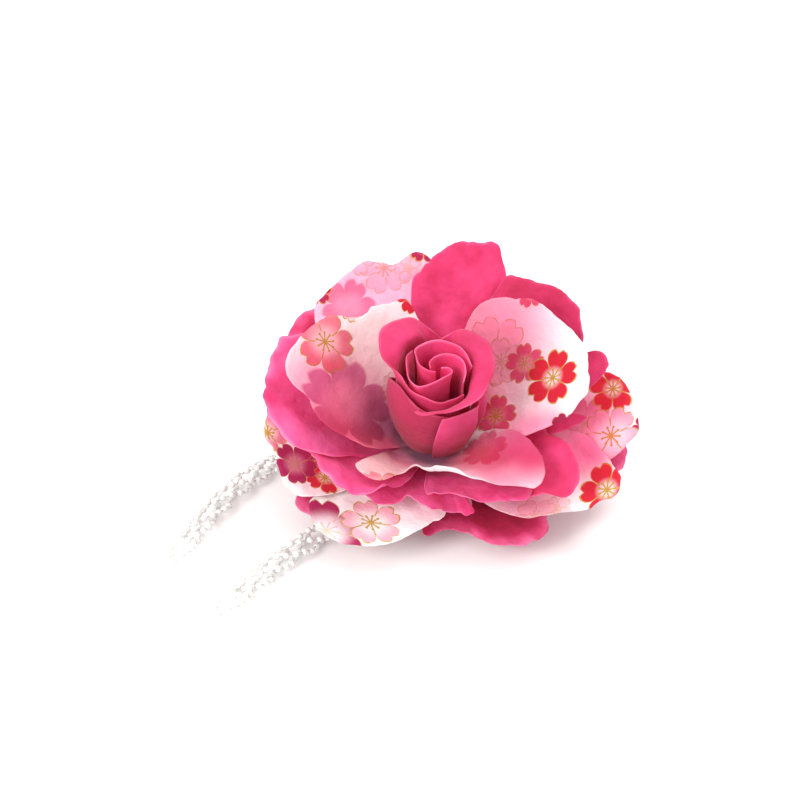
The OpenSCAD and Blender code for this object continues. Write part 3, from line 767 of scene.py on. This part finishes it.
outer_layer = {"root_z": 4.2, "front_root": 0, "front_rim": 6, "back_root": 17, "back_rim": 32, "ramp": 1.6,
               "waves": 2, "seed": 11, "sheer": 0.15}
outer_petals = [
    {"name": "outer_front", "azimuth": -120, "reach": 40, "half": 46, "ruffle": 0.5, "phase": 1,
     "skew": -0.20, "frill": 0.25, "crease": 0.6,
     "rim": [(310, 501), (311, 512), (314, 522), (320, 532), (330, 539), (344, 544), (360, 546), (378, 545),
             (396, 541), (412, 534), (424, 527), (433, 521)],
     "blossoms": [((326, 531), (322, 504), "dusk", 0.5), ((371, 523), (364, 504), "pale")],
     "clouds": {"pink": [((425, 505), 8, 0.3)]}},
    {"name": "outer_left", "azimuth": 178, "reach": 50, "half": 36, "ruffle": 0.5, "phase": 2,
     "frill": 0.3, "crease": 0.6,
     "rim": [(267, 415), (264, 424), (264, 432), (266, 441), (272, 447), (277, 458), (278, 467), (282, 478),
             (290, 490), (302, 498), (310, 501)],
     "blossoms": [((319, 468), (308, 478), "magenta", 0.4), ((325, 478), (330, 492), "red"),
                  ((267, 433), (285, 438), "salmon"), ((295, 464), (298, 482), "magenta", 0.4)],
     "clouds": {"pink": [((335, 470), 10, 0.4)]}},
    {"name": "outer_right", "azimuth": 15, "reach": 59, "half": 34, "ruffle": 0.4, "phase": 3,
     "skew": -0.10, "frill": 0.35, "crease": 0.6,
     "rim": [(626, 444), (637, 434), (639, 420), (635, 410), (634, 401), (628, 389), (620, 377), (610, 373),
             (598, 371)],
     "blossoms": [((585, 425), (560, 430), "haze", 0.3, 0.05),
                  ((645, 428), (633, 431), "magenta", 0.2), ((613, 389), (600, 406), "red"),
                  ((611, 436), (625, 413), "pale")],
     "clouds": {"pink": [((580, 430), 13, 0.9), ((590, 400), 9, 0.6), ((600, 455), 7, 0.5)]}},
    {"name": "outer_corner", "azimuth": -28, "reach": 45, "half": 42, "ruffle": 0.5, "phase": 4.4,
     "blunt": 0.38, "skew": 0.34, "frill": 0.3, "crease": 0.6, "longest": (0.4, 1.45),
     "rim": [(466, 490), (476, 497), (486, 503), (494, 508), (500, 511), (510, 515), (528, 518), (546, 516),
             (560, 512), (580, 511), (592, 508), (600, 500), (612, 498), (619, 492), (621, 476), (615, 468)],
     "blossoms": [((556, 510), (550, 500), "line", 0.4), ((535, 517), (525, 505), "line", 0.4),
                  ((607, 490), (600, 468), "red")],
     "clouds": {"pink": [((530, 503), 8, 0.7), ((505, 500), 8, 0.4), ((602, 450), 6, 0.5)],
                "hot": [((575, 437), 9, 0.8), ((590, 444), 7, 0.7), ((584, 456), 6, 0.6)]}},
    {"name": "outer_back", "azimuth": 110, "reach": 63, "half": 42, "ruffle": 0.6, "phase": 5,
     "frill": 0.5,
     "rim": [(428, 257), (423, 254), (413, 253), (405, 257), (399, 262), (391, 265), (379, 263), (365, 261),
             (355, 267), (345, 276), (335, 285), (327, 292), (321, 299), (316, 305)],
     "blossoms": [((384, 268), (374, 289), "line", 0.5), ((357, 258), (361, 273), "line", 0.5),
                  ((408, 268), (404, 280), "line", 0.4), ((348, 306), (357, 284), "haze", 0, 0.12),
                  ((424, 247), (415, 258), "magenta"), ((318, 292), (326, 301), "magenta")],
     "clouds": {"pink": [((345, 300), 22, 0.75), ((390, 280), 22, 0.5), ((410, 300), 12, 0.4)]}},
]
for k, petal in enumerate(outer_petals):
    printed_petal(petal, outer_layer, k)

# The middle petals are the hot pink satin again, longer at the back and short in front, where
# their crimped rims stand out as a row of ruffles. They are stitched above the printed ones.
middle_layer = {"root_z": 7.6, "front_root": 12, "front_rim": 23, "back_root": 22, "back_rim": 40,
                "ramp": 2.5, "waves": 2, "seed": 21}
middle_petals = [
    {"name": "middle_front", "azimuth": -104, "reach": 31, "half": 42, "ruffle": 0.6, "waves": 2.5,
     "phase": 0, "ramp": 0.0, "sink": 2.0, "frill": 1.4, "longest": (0.5, 1.9),
     "curls": [(0.80, 0.40, 0.2, -3.5), (-0.15, 0.10, 0.5, 1.5)],
     "rim": [(362, 494), (370, 497), (381, 500), (395, 501), (406, 495), (417, 501), (432, 508), (447, 508),
             (458, 511), (470, 514), (480, 511), (487, 512)]},
    {"name": "middle_corner", "azimuth": -66, "reach": 35, "half": 38, "ruffle": 0.6, "waves": 2.5,
     "phase": 1, "ramp": 0.6, "frill": 1.3, "longest": (0.5, 1.5), "curls": [(-0.40, 0.50, 0.3, 1.0)],
     "rim": [(424, 486), (434, 491), (450, 496), (465, 497), (480, 498), (492, 499), (500, 498), (505, 495),
             (510, 500), (517, 502), (527, 500), (532, 490)]},
    {"name": "middle_right", "azimuth": -26, "reach": 45, "half": 34, "ruffle": 0.5, "phase": 2,
     "frill": 0.5,
     "rim": [(545, 494), (556, 495), (564, 496), (572, 491), (578, 482), (579, 470), (576, 458), (571, 447),
             (564, 441), (556, 437), (546, 433)]},
    {"name": "middle_side", "azimuth": 14, "reach": 53, "half": 24, "ruffle": 0.3, "phase": 3,
     "rim": [(564, 414), (574, 404), (580, 395), (590, 386), (598, 380), (606, 373), (611, 367), (609, 359),
             (603, 352), (596, 350)]},
    {"name": "middle_back", "azimuth": 47, "reach": 58, "half": 29, "ruffle": 0.2, "phase": 4,
     "frill": 0.6,
     "rim": [(582, 343), (581, 329), (579, 315), (580, 308), (572, 299), (564, 293), (554, 287), (540, 283),
             (528, 280), (516, 277), (507, 276)]},
    {"name": "middle_top", "azimuth": 79, "reach": 62, "half": 25, "ruffle": 0.2, "phase": 5,
     "frill": 0.6,
     "rim": [(506, 274), (503, 261), (500, 247), (492, 242), (484, 243), (472, 241), (460, 242), (450, 246),
             (440, 252), (429, 263), (420, 272), (412, 284), (408, 294)]},
    {"name": "middle_left", "azimuth": 166, "reach": 53, "half": 44, "ruffle": 0.6, "waves": 2.5,
     "phase": 6, "frill": 0.8,
     "rim": [(293, 336), (279, 339), (277, 346), (271, 357), (268, 371), (267, 385), (263, 397), (268, 407),
             (270, 420), (276, 428), (286, 438), (296, 446)]},
    {"name": "middle_low", "azimuth": -153, "reach": 44, "half": 40, "ruffle": 0.6, "waves": 2.5,
     "phase": 7, "skew": -0.10, "frill": 1.2, "longest": (0.6, 1.7),
     "rim": [(296, 447), (308, 454), (315, 463), (322, 471), (332, 480), (341, 486), (351, 491),
             (364, 496)]},
]
# One satin for the middle petals. The back one gets a darker copy as painted shade. The front, corner, left
# and low ones get a brighter copy as painted light, with a wider painted rim highlight.
middle_pink = pink_satin("middle_pink_satin", (0.70, 0.036, 0.15), (0.86, 0.075, 0.26), (0.93, 0.24, 0.48))
shaded_back_pink = pink_satin("back_pink_satin", (0.60, 0.028, 0.11), (0.76, 0.052, 0.19), (0.90, 0.20, 0.42))
lit_front_pink = pink_satin(
    "front_pink_satin", (0.82, 0.060, 0.25), (0.95, 0.17, 0.45), (0.97, 0.42, 0.68), rim_highlight_width=2.0,
)
middle_lit_and_shaded = {"middle_back": shaded_back_pink}
for name in ("middle_front", "middle_corner", "middle_left", "middle_low"):
    middle_lit_and_shaded[name] = lit_front_pink
for k, petal in enumerate(middle_petals):
    pink_petal(petal, middle_layer, k, middle_lit_and_shaded.get(petal["name"], middle_pink))

# The inner petals are three large pieces of the printed satin round the bud. The front one is short and
# rolls outwards. The cloth is thin, and the pink behind it, showing through, is painted on it as a tint,
# with painted shade next to the bud.
inner_layer = {"root_z": 11.2, "front_root": 17, "front_rim": 32, "back_root": 28, "back_rim": 50,
               "ramp": 0.8, "waves": 2, "seed": 31, "sheer": SATIN_SHEER}
inner_petals = [
    {"name": "inner_front", "azimuth": -80, "reach": 35, "half": 74, "ruffle": 0.4, "phase": 1,
     "blunt": 0.28, "skew": 0.25, "lift": 7, "frill": 0.35, "longest": (0.5, 1.65),
     "curls": [(0.45, 0.30, 0.40, -8.0), (-0.60, 0.28, 0.45, -4.0)],
     "rim": [(357, 460), (362, 472), (372, 479), (385, 480), (395, 477), (404, 474), (414, 468), (422, 466),
             (436, 464), (454, 469), (465, 474), (480, 479), (493, 482), (506, 485), (520, 486), (532, 488),
             (541, 482), (545, 470)],
     "blossoms": [((485, 450), (489, 433), "haze", 0.2, 0.10), ((381, 492), (369, 475), "pale", 0.8)],
     "clouds": {"pink": [((380, 450), 3, 0.8), ((390, 451), 4, 0.8), ((400, 455), 4, 0.8),
                         ((408, 462), 4, 0.8), ((534, 464), 7, 0.6), ((480, 468), 7, 0.6),
                         ((508, 468), 8, 0.7)],
                "plum_shade": [((421, 450), 4, 0.8), ((431, 455), 4, 0.7), ((426, 461), 4, 0.8),
                         ((438, 460), 4, 0.8)],
                "rose": [((456, 460), 4, 0.7), ((474, 460), 5, 0.6)],
                "blush": [((372, 464), 6, 0.7), ((385, 467), 6, 0.7), ((397, 469), 5, 0.5)],
                "deep": [((478, 446), 4, 0.5), ((498, 457), 6, 0.5), ((510, 445), 8, 0.8),
                         ((530, 442), 8, 0.9), ((542, 452), 7, 0.9)]}},
    {"name": "inner_right", "azimuth": 28, "reach": 52, "half": 48, "ruffle": 0.5, "phase": 2,
     "frill": 0.3, "crease": 0.7,
     "rim": [(552, 426), (560, 422), (570, 416), (580, 401), (587, 393), (588, 371), (584, 347), (568, 327),
             (554, 315), (540, 303), (516, 299), (500, 298), (484, 302), (470, 309), (458, 319), (447, 331)],
     "blossoms": [((495, 351), (483, 323), "line", 0.6), ((501, 362), (513, 377), "line", 0.5),
                  ((525, 364), (524, 346), "rose", 0.7, 0.04), ((553, 378), (559, 353), "red"),
                  ((496, 416), (514, 412), "rose", 1, 0.05), ((531, 292), (524, 305), "rose", 0.3, 0.05),
                  ((562, 428), (558, 417), "magenta", 0.4, 0.05)],
     "clouds": {"pink": [((480, 325), 17, 0.85), ((515, 312), 8, 0.35), ((500, 350), 13, 0.55),
                         ((490, 412), 6, 0.8), ((530, 330), 8, 0.15), ((512, 430), 5, 0.8),
                         ((528, 430), 5, 0.9), ((545, 427), 5, 0.8)],
                "rose": [((485, 322), 14, 0.25), ((478, 395), 7, 0.5)]}},
    {"name": "inner_left", "azimuth": 154, "reach": 47, "half": 62, "ruffle": 0.5, "phase": 3,
     "blunt": 0.27, "skew": -0.04, "frill": 0.3, "crease": 0.7,
     "rim": [(407, 299), (395, 302), (387, 304), (379, 304), (371, 307), (367, 313), (361, 317), (349, 318),
             (335, 315), (327, 316), (319, 321), (309, 329), (299, 339), (290, 351), (286, 365), (288, 375),
             (295, 384), (303, 392), (309, 399), (313, 409), (319, 419), (331, 429), (346, 438), (356, 443)],
     "blossoms": [((346, 406), (309, 382), "veil", 0.15, 0.08),
                  ((325, 342), (330, 316), "salmon"), ((350, 312), (352, 321), "line"),
                  ((412, 296), (407, 311), "red", 0.4), ((397, 388), (388, 376), "line", 0.5)],
     "clouds": {"hot": [((380, 443), 5, 0.5), ((392, 447), 4, 0.6)],
                "pink": [((345, 420), 21, 0.85), ((322, 405), 10, 0.5), ((318, 380), 9, 0.3),
                         ((400, 325), 10, 0.2)],
                "rose": [((330, 428), 8, 0.5), ((352, 438), 8, 0.6), ((350, 400), 10, 0.3)],
                "grey_shade": [((372, 362), 13, 0.6)],
                "plum_shade": [((384, 418), 9, 0.7), ((407, 431), 6, 0.9)]}},
]
for k, petal in enumerate(inner_petals):
    printed_petal(petal, inner_layer, k)

# The bud is a rolled strip of the pink satin, glued on the stem, with two petals wrapped close
# round it, two wider ones whose rims fold outwards, and two short ones in front.
# Each rim is a row of (x, y, height, how far out its wall stands below the rim).
BUD_CELLS = (150, 44)
BUD_SEED = 40
BUD_BELLY = 16.0
BUD_NECK = 0.62
BUD_ROLL = 0.9
BUD_LIP_FROM = 0.72
BUD_CUTS_APART = 60
BUD_FOLD_HIGH, BUD_FOLD_LONG = 0.5, 8.0
BUD_CREASE_HIGH, BUD_CREASE_LONG = 0.16, 2.6
BUD_RIPPLE_HIGH, BUD_RIPPLE_LONG = 0.35, 7.0
bud_petals = [
    {"name": "bud_core", "foot": 15, "foot_share": 0.62, "lip": 0.9, "tight": 0.3,
     "rim": [(7.3, -5.5, 42.5, 1), (8, -2.5, 43.5, 1), (7, 1.5, 43.5, 1), (4.5, 3.5, 43.5, 1),
             (1.5, 3.8, 43.5, 1), (-1, 2.5, 43.5, 1), (-2.3, 0.5, 43.5, 1), (-1.8, -0.9, 43, 1)]},
    {"name": "bud_inner_back", "foot": 15.5, "foot_share": 0.62, "lip": 0.9, "tight": 0.3,
     "rim": [(9.5, 0.5, 42, 1), (8, 3.5, 44, 1), (5.5, 6.5, 44, 1), (1, 8.5, 44, 1), (-3, 7.8, 44, 1),
             (-6, 5.3, 44, 1), (-6, 2.5, 44, 1), (-5, -0.5, 43.5, 1), (-2.5, -2.5, 43.5, 1),
             (-0.5, -2.5, 43, 1)]},
    {"name": "bud_inner_front", "foot": 15.4, "foot_share": 0.62, "lip": 0.8, "tight": 0.3,
     "rim": [(-7, 7.4, 41, 1), (-8.6, 3.5, 42.5, 1), (-8.5, -1.5, 42.5, 1), (-7.5, -5, 42.5, 1),
             (-5, -7.5, 42.5, 1), (-1, -6, 42.5, 1), (2, -4, 42.5, 1), (4, -2, 42.5, 1), (3, -0.5, 42.5, 1),
             (1, -0.5, 42.5, 1)]},
    {"name": "bud_left", "foot": 17, "foot_share": 0.68, "lip": 0.0, "tight": 0.6,
     "rim": [(2.6, 14.2, 36.5, 0.89), (-1.5, 14, 42, 0.86), (-8, 16, 45, 0.61), (-15.5, 12, 45, 0.56),
             (-16, 3, 45, 0.66), (-13, -2, 44.5, 0.85), (-10, -5, 44, 1.02), (-7, -8.3, 41.5, 1),
             (0, -11.1, 40, 1), (4.3, -10.1, 40, 1), (7.3, -7.8, 40, 1)]},
    {"name": "bud_right", "foot": 17, "foot_share": 0.68, "lip": 0.0, "tight": 0.6,
     "rim": [(-0.5, 11, 39.5, 1), (1, 11.5, 41.5, 0.92), (7, 15, 41.5, 0.60), (13.5, 11, 41.5, 0.57),
             (16, 3, 41.5, 0.60), (14.5, -4.5, 41, 0.64), (11, -11, 41, 0.71), (3.5, -15.5, 41, 0.77),
             (-3, -16.5, 41, 0.78), (-6, -15.5, 41, 0.79)]},
    {"name": "bud_front_left", "foot": 17.6, "foot_share": 0.78, "lip": 0.2, "tight": 0.6,
     "rim": [(-12, 7, 30, 1.03), (-13.5, 1.5, 36, 1.06), (-12.6, -3, 40.3, 1.11), (-10.5, -6.6, 41.8, 1.16),
             (-7.9, -9.9, 40.4, 1.15), (-3.6, -12.9, 38.6, 1.07), (3.2, -14.1, 36.8, 0.99)]},
    {"name": "bud_front_right", "foot": 17.2, "foot_share": 0.72, "lip": 0.2, "tight": 0.6,
     "valley": (-30, 6, 2.0), "lean": 0.1,
     "rim": [(-1.5, -15.8, 38.3, 1.02), (4, -15.2, 38.3, 1), (9.5, -11.8, 37.9, 1.01), (12.5, -7.6, 37.4, 1),
             (14, -3, 37.5, 1), (13.8, 3, 36.5, 1), (12.5, 6.5, 33, 1)]},
]
# The bud satins all darken deeper in from the rim as painted shade. The front-left petal gets a darker copy
# as painted shade, and the rolled heart a brighter copy as painted light.
bud_pink = pink_satin(
    "bud_pink_satin", (0.70, 0.036, 0.15), (0.83, 0.062, 0.24), (0.93, 0.22, 0.42),
    fold_shade=(0.54, 0.026, 0.085), fold_shade_depth=(2.0, 13.0),
)
shade_pink = pink_satin(
    "bud_shade_satin", (0.50, 0.022, 0.085), (0.62, 0.034, 0.125), (0.90, 0.18, 0.36),
    fold_shade=(0.46, 0.020, 0.07), fold_shade_depth=(2.0, 13.0),
)
lobe_pink = pink_satin(
    "bud_lobe_satin", (0.69, 0.037, 0.145), (0.80, 0.057, 0.22), (0.93, 0.22, 0.42),
    fold_shade=(0.58, 0.030, 0.10), fold_shade_depth=(8.0, 21.0),
)
lit_roll_pink = pink_satin(
    "bud_roll_satin", (0.86, 0.065, 0.24), (0.95, 0.10, 0.34), (0.98, 0.36, 0.58),
    fold_shade=(0.64, 0.035, 0.12), fold_shade_depth=(8.0, 21.0),
)
bud_lit_and_shaded = {
    "bud_left": lobe_pink, "bud_right": lobe_pink, "bud_front_left": shade_pink, "bud_front_right": bud_pink,
}


def through(rows, share):
    """A smooth curve through rows of numbers, at shares of the way along it."""
    rows = np.array(rows, float)
    place = np.clip(share, 0, 1) * (len(rows) - 1)
    k = np.minimum(place.astype(int), len(rows) - 2)
    f = (place - k)[..., None]
    a, b, c, d = rows[np.maximum(k - 1, 0)], rows[k], rows[k + 1], rows[np.minimum(k + 2, len(rows) - 1)]
    return b + (c - a) * f / 2 + (2 * a - 5 * b + 4 * c - d) * f**2 / 2 + (3 * b - 3 * c + d - a) * f**3 / 2


def bud_wall(petal, along_rim, share):
    """A point of a bud petal's cloth: a share of the way along its rim and up from its foot."""
    along_rim = along_rim + petal.get("lean", 0) * share**1.5 * (1 - along_rim)
    x, y, top, body = np.moveaxis(through(petal["rim"], along_rim), -1, 0)
    rise = (top - petal["foot"]) * (share + BUD_ROLL * np.maximum(0, 1 - body) * np.sin(math.pi * share))
    full = np.sin(math.pi / 2 * np.clip(rise / BUD_BELLY, 0, 1))
    folded = np.clip((share - BUD_NECK) / (1 - BUD_NECK), 0, 1) ** 1.7
    out = body * (petal["foot_share"] + (1 - petal["foot_share"]) * full) + (1 - body) * folded
    lip = 1 - np.clip((share - BUD_LIP_FROM) / (1 - BUD_LIP_FROM), 0, 1) ** 2
    out = out - petal["lip"] * lip / np.hypot(x, y).clip(4)
    if "valley" in petal:
        middle, width, depth = petal["valley"]
        near = np.exp(-(((np.degrees(np.arctan2(y, x)) - middle) / width) ** 2))
        out = out - depth * near / np.hypot(x, y) * np.sin(math.pi / 2 * share)
    return on_flower(np.stack([x * out, y * out, petal["foot"] + rise], -1))


for place_in_bud, petal in enumerate(bud_petals):
    cells_along, cells_up = BUD_CELLS
    seed = BUD_SEED + place_in_bud
    along_rim, share = np.meshgrid(
        1 - np.linspace(0, 1, cells_along + 1), np.linspace(0, 1, cells_up + 1), indexing="ij",
    )
    points = bud_wall(petal, along_rim, share)
    steps = np.linalg.norm(np.diff(points[:, -1], axis=0, prepend=points[:1, -1]), axis=-1)
    walked = np.cumsum(steps)[:, None]
    tall = np.linalg.norm(np.diff(points[cells_along // 2], axis=0), axis=-1).sum()
    tight = petal["tight"]
    points = crinkle(points, facing(points), BUD_FOLD_HIGH * tight, BUD_FOLD_LONG, seed)
    points = crinkle(points, facing(points), BUD_CREASE_HIGH * tight, BUD_CREASE_LONG, seed + 5)
    ripple = BUD_RIPPLE_HIGH * tight * waves_along(walked[:, 0], BUD_RIPPLE_LONG, seed + 20)
    points = points + facing(points) * (ripple[:, None] * share**5)[..., None]
    next_cut = np.broadcast_to(walked, share.shape) + BUD_CUTS_APART * place_in_bud
    flat = np.stack([next_cut, share * tall], -1)
    # The distance from the rim sets the painted fold shade and rim highlight. Along the side edges of the
    # outer bud petals, above their lower part, it is cut short, so these edges get the painted highlight and
    # no painted shade.
    gap = (1 - share) * tall
    if tight > 0.5:
        from_side = np.minimum(walked, walked[-1] - walked)
        gap = np.minimum(gap, from_side + 0.2 + 30 * np.clip(0.4 - share, 0, 1))
    made = cloth_mesh(petal["name"] + "_petal", points, flat, gap, bud_lit_and_shaded.get(petal["name"], lit_roll_pink))
    declare_cloth(made, points, petal["name"])

# Two bunches of small pearl beads hang from under the flower and lie on the table. Each has
# two strands, a long and a short one, strung loosely on thread and doubled back at the end.
# The bunches follow the same curves as the solids that they stand for.
BEAD = 2.0
BEAD_SPACING = 3.0
THREAD = 0.28
SLACK = 0.25
BUNCH_SIDE = 2.8
BUNCH_UP = 2.0
BUNCH_PITCH = 34.0
BUNCH_Z = BUNCH_UP + BEAD / 2 + 0.05
STRAND_STEPS = 40
BEND_STEPS = 8
STRING_SEED = 3
upper_bunch = [
    (-10.4, 4, BUNCH_Z + 2.7), (-42, 28, BUNCH_Z), (-60, 3, BUNCH_Z), (-71.3, -28.2, BUNCH_Z),
]
lower_bunch = [
    (-10.4, -6, BUNCH_Z + 0.5), (-27, -14, BUNCH_Z), (-42, -28.5, BUNCH_Z), (-55.8, -49.8, BUNCH_Z),
]
strands = [
    ("upper_beads_long", upper_bunch, 0, 1.045),
    ("upper_beads_short", upper_bunch, 96, 0.94),
    ("lower_beads_long", lower_bunch, 0, 1.055),
    ("lower_beads_short", lower_bunch, 96, 0.94),
]


def bezier(c, t):
    return (1 - t) ** 3 * c[0] + 3 * (1 - t) ** 2 * t * c[1] + 3 * (1 - t) * t * t * c[2] + t**3 * c[3]


def bezier_way(c, t):
    way = (1 - t) ** 2 * (c[1] - c[0]) + 2 * (1 - t) * t * (c[2] - c[1]) + t * t * (c[3] - c[2])
    return way / np.linalg.norm(way)


def strand_path(bunch, end_turn, share):
    """Points of a strand: out along the bunch, round its end and back on the far side."""
    c = [np.array(corner, float) + [0, FLOWER_AT[1], 0] for corner in bunch]
    length = sum(np.linalg.norm(bezier(c, (k + 1) / 20) - bezier(c, k / 20)) for k in range(20))

    def spoke(t):
        turn = math.radians(end_turn - 360 * (1 - t) * length / BUNCH_PITCH)
        side = np.cross([0, 0, 1.0], bezier_way(c, t))
        side /= np.linalg.norm(side)
        rise = np.cross(bezier_way(c, t), side)
        return BUNCH_SIDE * math.cos(turn) * side + BUNCH_UP * math.sin(turn) * rise

    ts = [share * k / STRAND_STEPS for k in range(STRAND_STEPS + 1)]
    out = [bezier(c, t) + spoke(t) for t in ts]
    arm = spoke(share)
    ahead = bezier_way(c, share) * np.linalg.norm(arm)
    half_turn = np.linspace(0, math.pi, BEND_STEPS + 1)[1:-1]
    bend = [bezier(c, share) + math.cos(a) * arm + math.sin(a) * ahead for a in half_turn]
    home = [bezier(c, t) - spoke(t) for t in reversed(ts)]
    return np.array(out + bend + home)


pearl, tree, surface = new_finish("pearl_bead")
clouding = speckle(tree, 700.0, 3.0)
two_tones(tree, surface, clouding, (0.66, 0.65, 0.63), (0.76, 0.75, 0.73))
uneven_gloss(tree, surface, clouding, 0.12, 0.3)
set_sockets(surface, {"Coat Weight": 0.35, "Coat Roughness": 0.08})

thread, tree, surface = new_finish("bead_thread")
two_tones(tree, surface, speckle(tree, 2500.0, 2.0), (0.36, 0.34, 0.33), (0.55, 0.53, 0.52))
set_sockets(surface, {"Roughness": 0.5})


def stringing():
    """Geometry nodes that string beads on a curve: evenly spaced along it, each a little off
    in place and size, on a thin thread."""
    group = bpy.data.node_groups.new("strung_beads", "GeometryNodeTree")
    group.interface.new_socket(name="Geometry", in_out="INPUT", socket_type="NodeSocketGeometry")
    for name, size in (
        ("Bead Diameter", BEAD), ("Bead Spacing", BEAD_SPACING),
        ("Thread Diameter", THREAD), ("Slack", SLACK),
    ):
        socket = group.interface.new_socket(name=name, in_out="INPUT", socket_type="NodeSocketFloat")
        socket.default_value = size * MM
    group.interface.new_socket(name="Seed", in_out="INPUT", socket_type="NodeSocketInt")
    group.interface.new_socket(name="Geometry", in_out="OUTPUT", socket_type="NodeSocketGeometry")
    given = group.nodes.new("NodeGroupInput").outputs
    result = group.nodes.new("NodeGroupOutput").inputs

    def node(kind, inputs=(), **settings):
        return shader_node(group, kind, inputs, **settings)

    def half(value):
        return node("ShaderNodeMath", {0: value, 1: 0.5}, operation="MULTIPLY").outputs[0]

    along = {"Curve": given["Geometry"], "Length": given["Bead Spacing"]}
    spaced = node("GeometryNodeCurveToPoints", along, mode="LENGTH").outputs
    anywhere = {"Seed": given["Seed"], 0: (-1, -1, -1), 1: (1, 1, 1)}
    astray = node("FunctionNodeRandomValue", anywhere, data_type="FLOAT_VECTOR").outputs[0]
    shift = node("ShaderNodeVectorMath", {0: astray, "Scale": given["Slack"]}, operation="SCALE").outputs[0]
    placed = node("GeometryNodeSetPosition", {"Geometry": spaced["Points"], "Offset": shift}).outputs[0]
    ball_size = {"Segments": 12, "Rings": 8, "Radius": half(given["Bead Diameter"])}
    ball = node("GeometryNodeMeshUVSphere", ball_size).outputs["Mesh"]
    ball = node("GeometryNodeSetShadeSmooth", {"Geometry": ball}).outputs[0]
    uneven = {"Seed": given["Seed"], 2: 0.86, 3: 1.06}
    size = node("FunctionNodeRandomValue", uneven, data_type="FLOAT").outputs[1]
    strung = {"Points": placed, "Instance": ball, "Rotation": spaced["Rotation"], "Scale": size}
    strung = node("GeometryNodeInstanceOnPoints", strung).outputs[0]
    solid = node("GeometryNodeRealizeInstances", {0: strung}).outputs[0]
    beads = node("GeometryNodeSetMaterial", {"Geometry": solid, "Material": pearl}).outputs[0]
    ring = {"Resolution": 6, "Radius": half(given["Thread Diameter"])}
    ring = node("GeometryNodeCurvePrimitiveCircle", ring).outputs[0]
    line = {"Curve": given["Geometry"], "Profile Curve": ring, "Fill Caps": True}
    line = node("GeometryNodeCurveToMesh", line).outputs[0]
    line = node("GeometryNodeSetMaterial", {"Geometry": line, "Material": thread}).outputs[0]
    both = node("GeometryNodeJoinGeometry")
    group.links.new(line, both.inputs[0])
    group.links.new(beads, both.inputs[0])
    group.links.new(both.outputs[0], result[0])
    return group


strung_beads = stringing()
sockets = {item.name: item.identifier for item in strung_beads.interface.items_tree}
for place_in_row, (name, bunch, end_turn, share) in enumerate(strands):
    path = strand_path(bunch, end_turn, share) * MM
    line = bpy.data.curves.new(name + "_line", "CURVE")
    line.dimensions = "3D"
    spline = line.splines.new("POLY")
    spline.points.add(len(path) - 1)
    spline.points.foreach_set("co", np.concatenate([path, np.ones((len(path), 1))], 1).ravel())
    holder = new_object(name + "_line", line)
    maker = holder.modifiers.new("strung", "NODES")
    maker.node_group = strung_beads
    maker[sockets["Seed"]] = STRING_SEED + place_in_row
    bpy.context.view_layer.update()
    graph = bpy.context.evaluated_depsgraph_get()
    mesh = bpy.data.meshes.new_from_object(holder.evaluated_get(graph))
    mesh.name = name + "_pearls"
    made = new_object(name + "_pearls", mesh)
    bpy.data.objects.remove(holder)
    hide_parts(name)
    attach(made, "root")
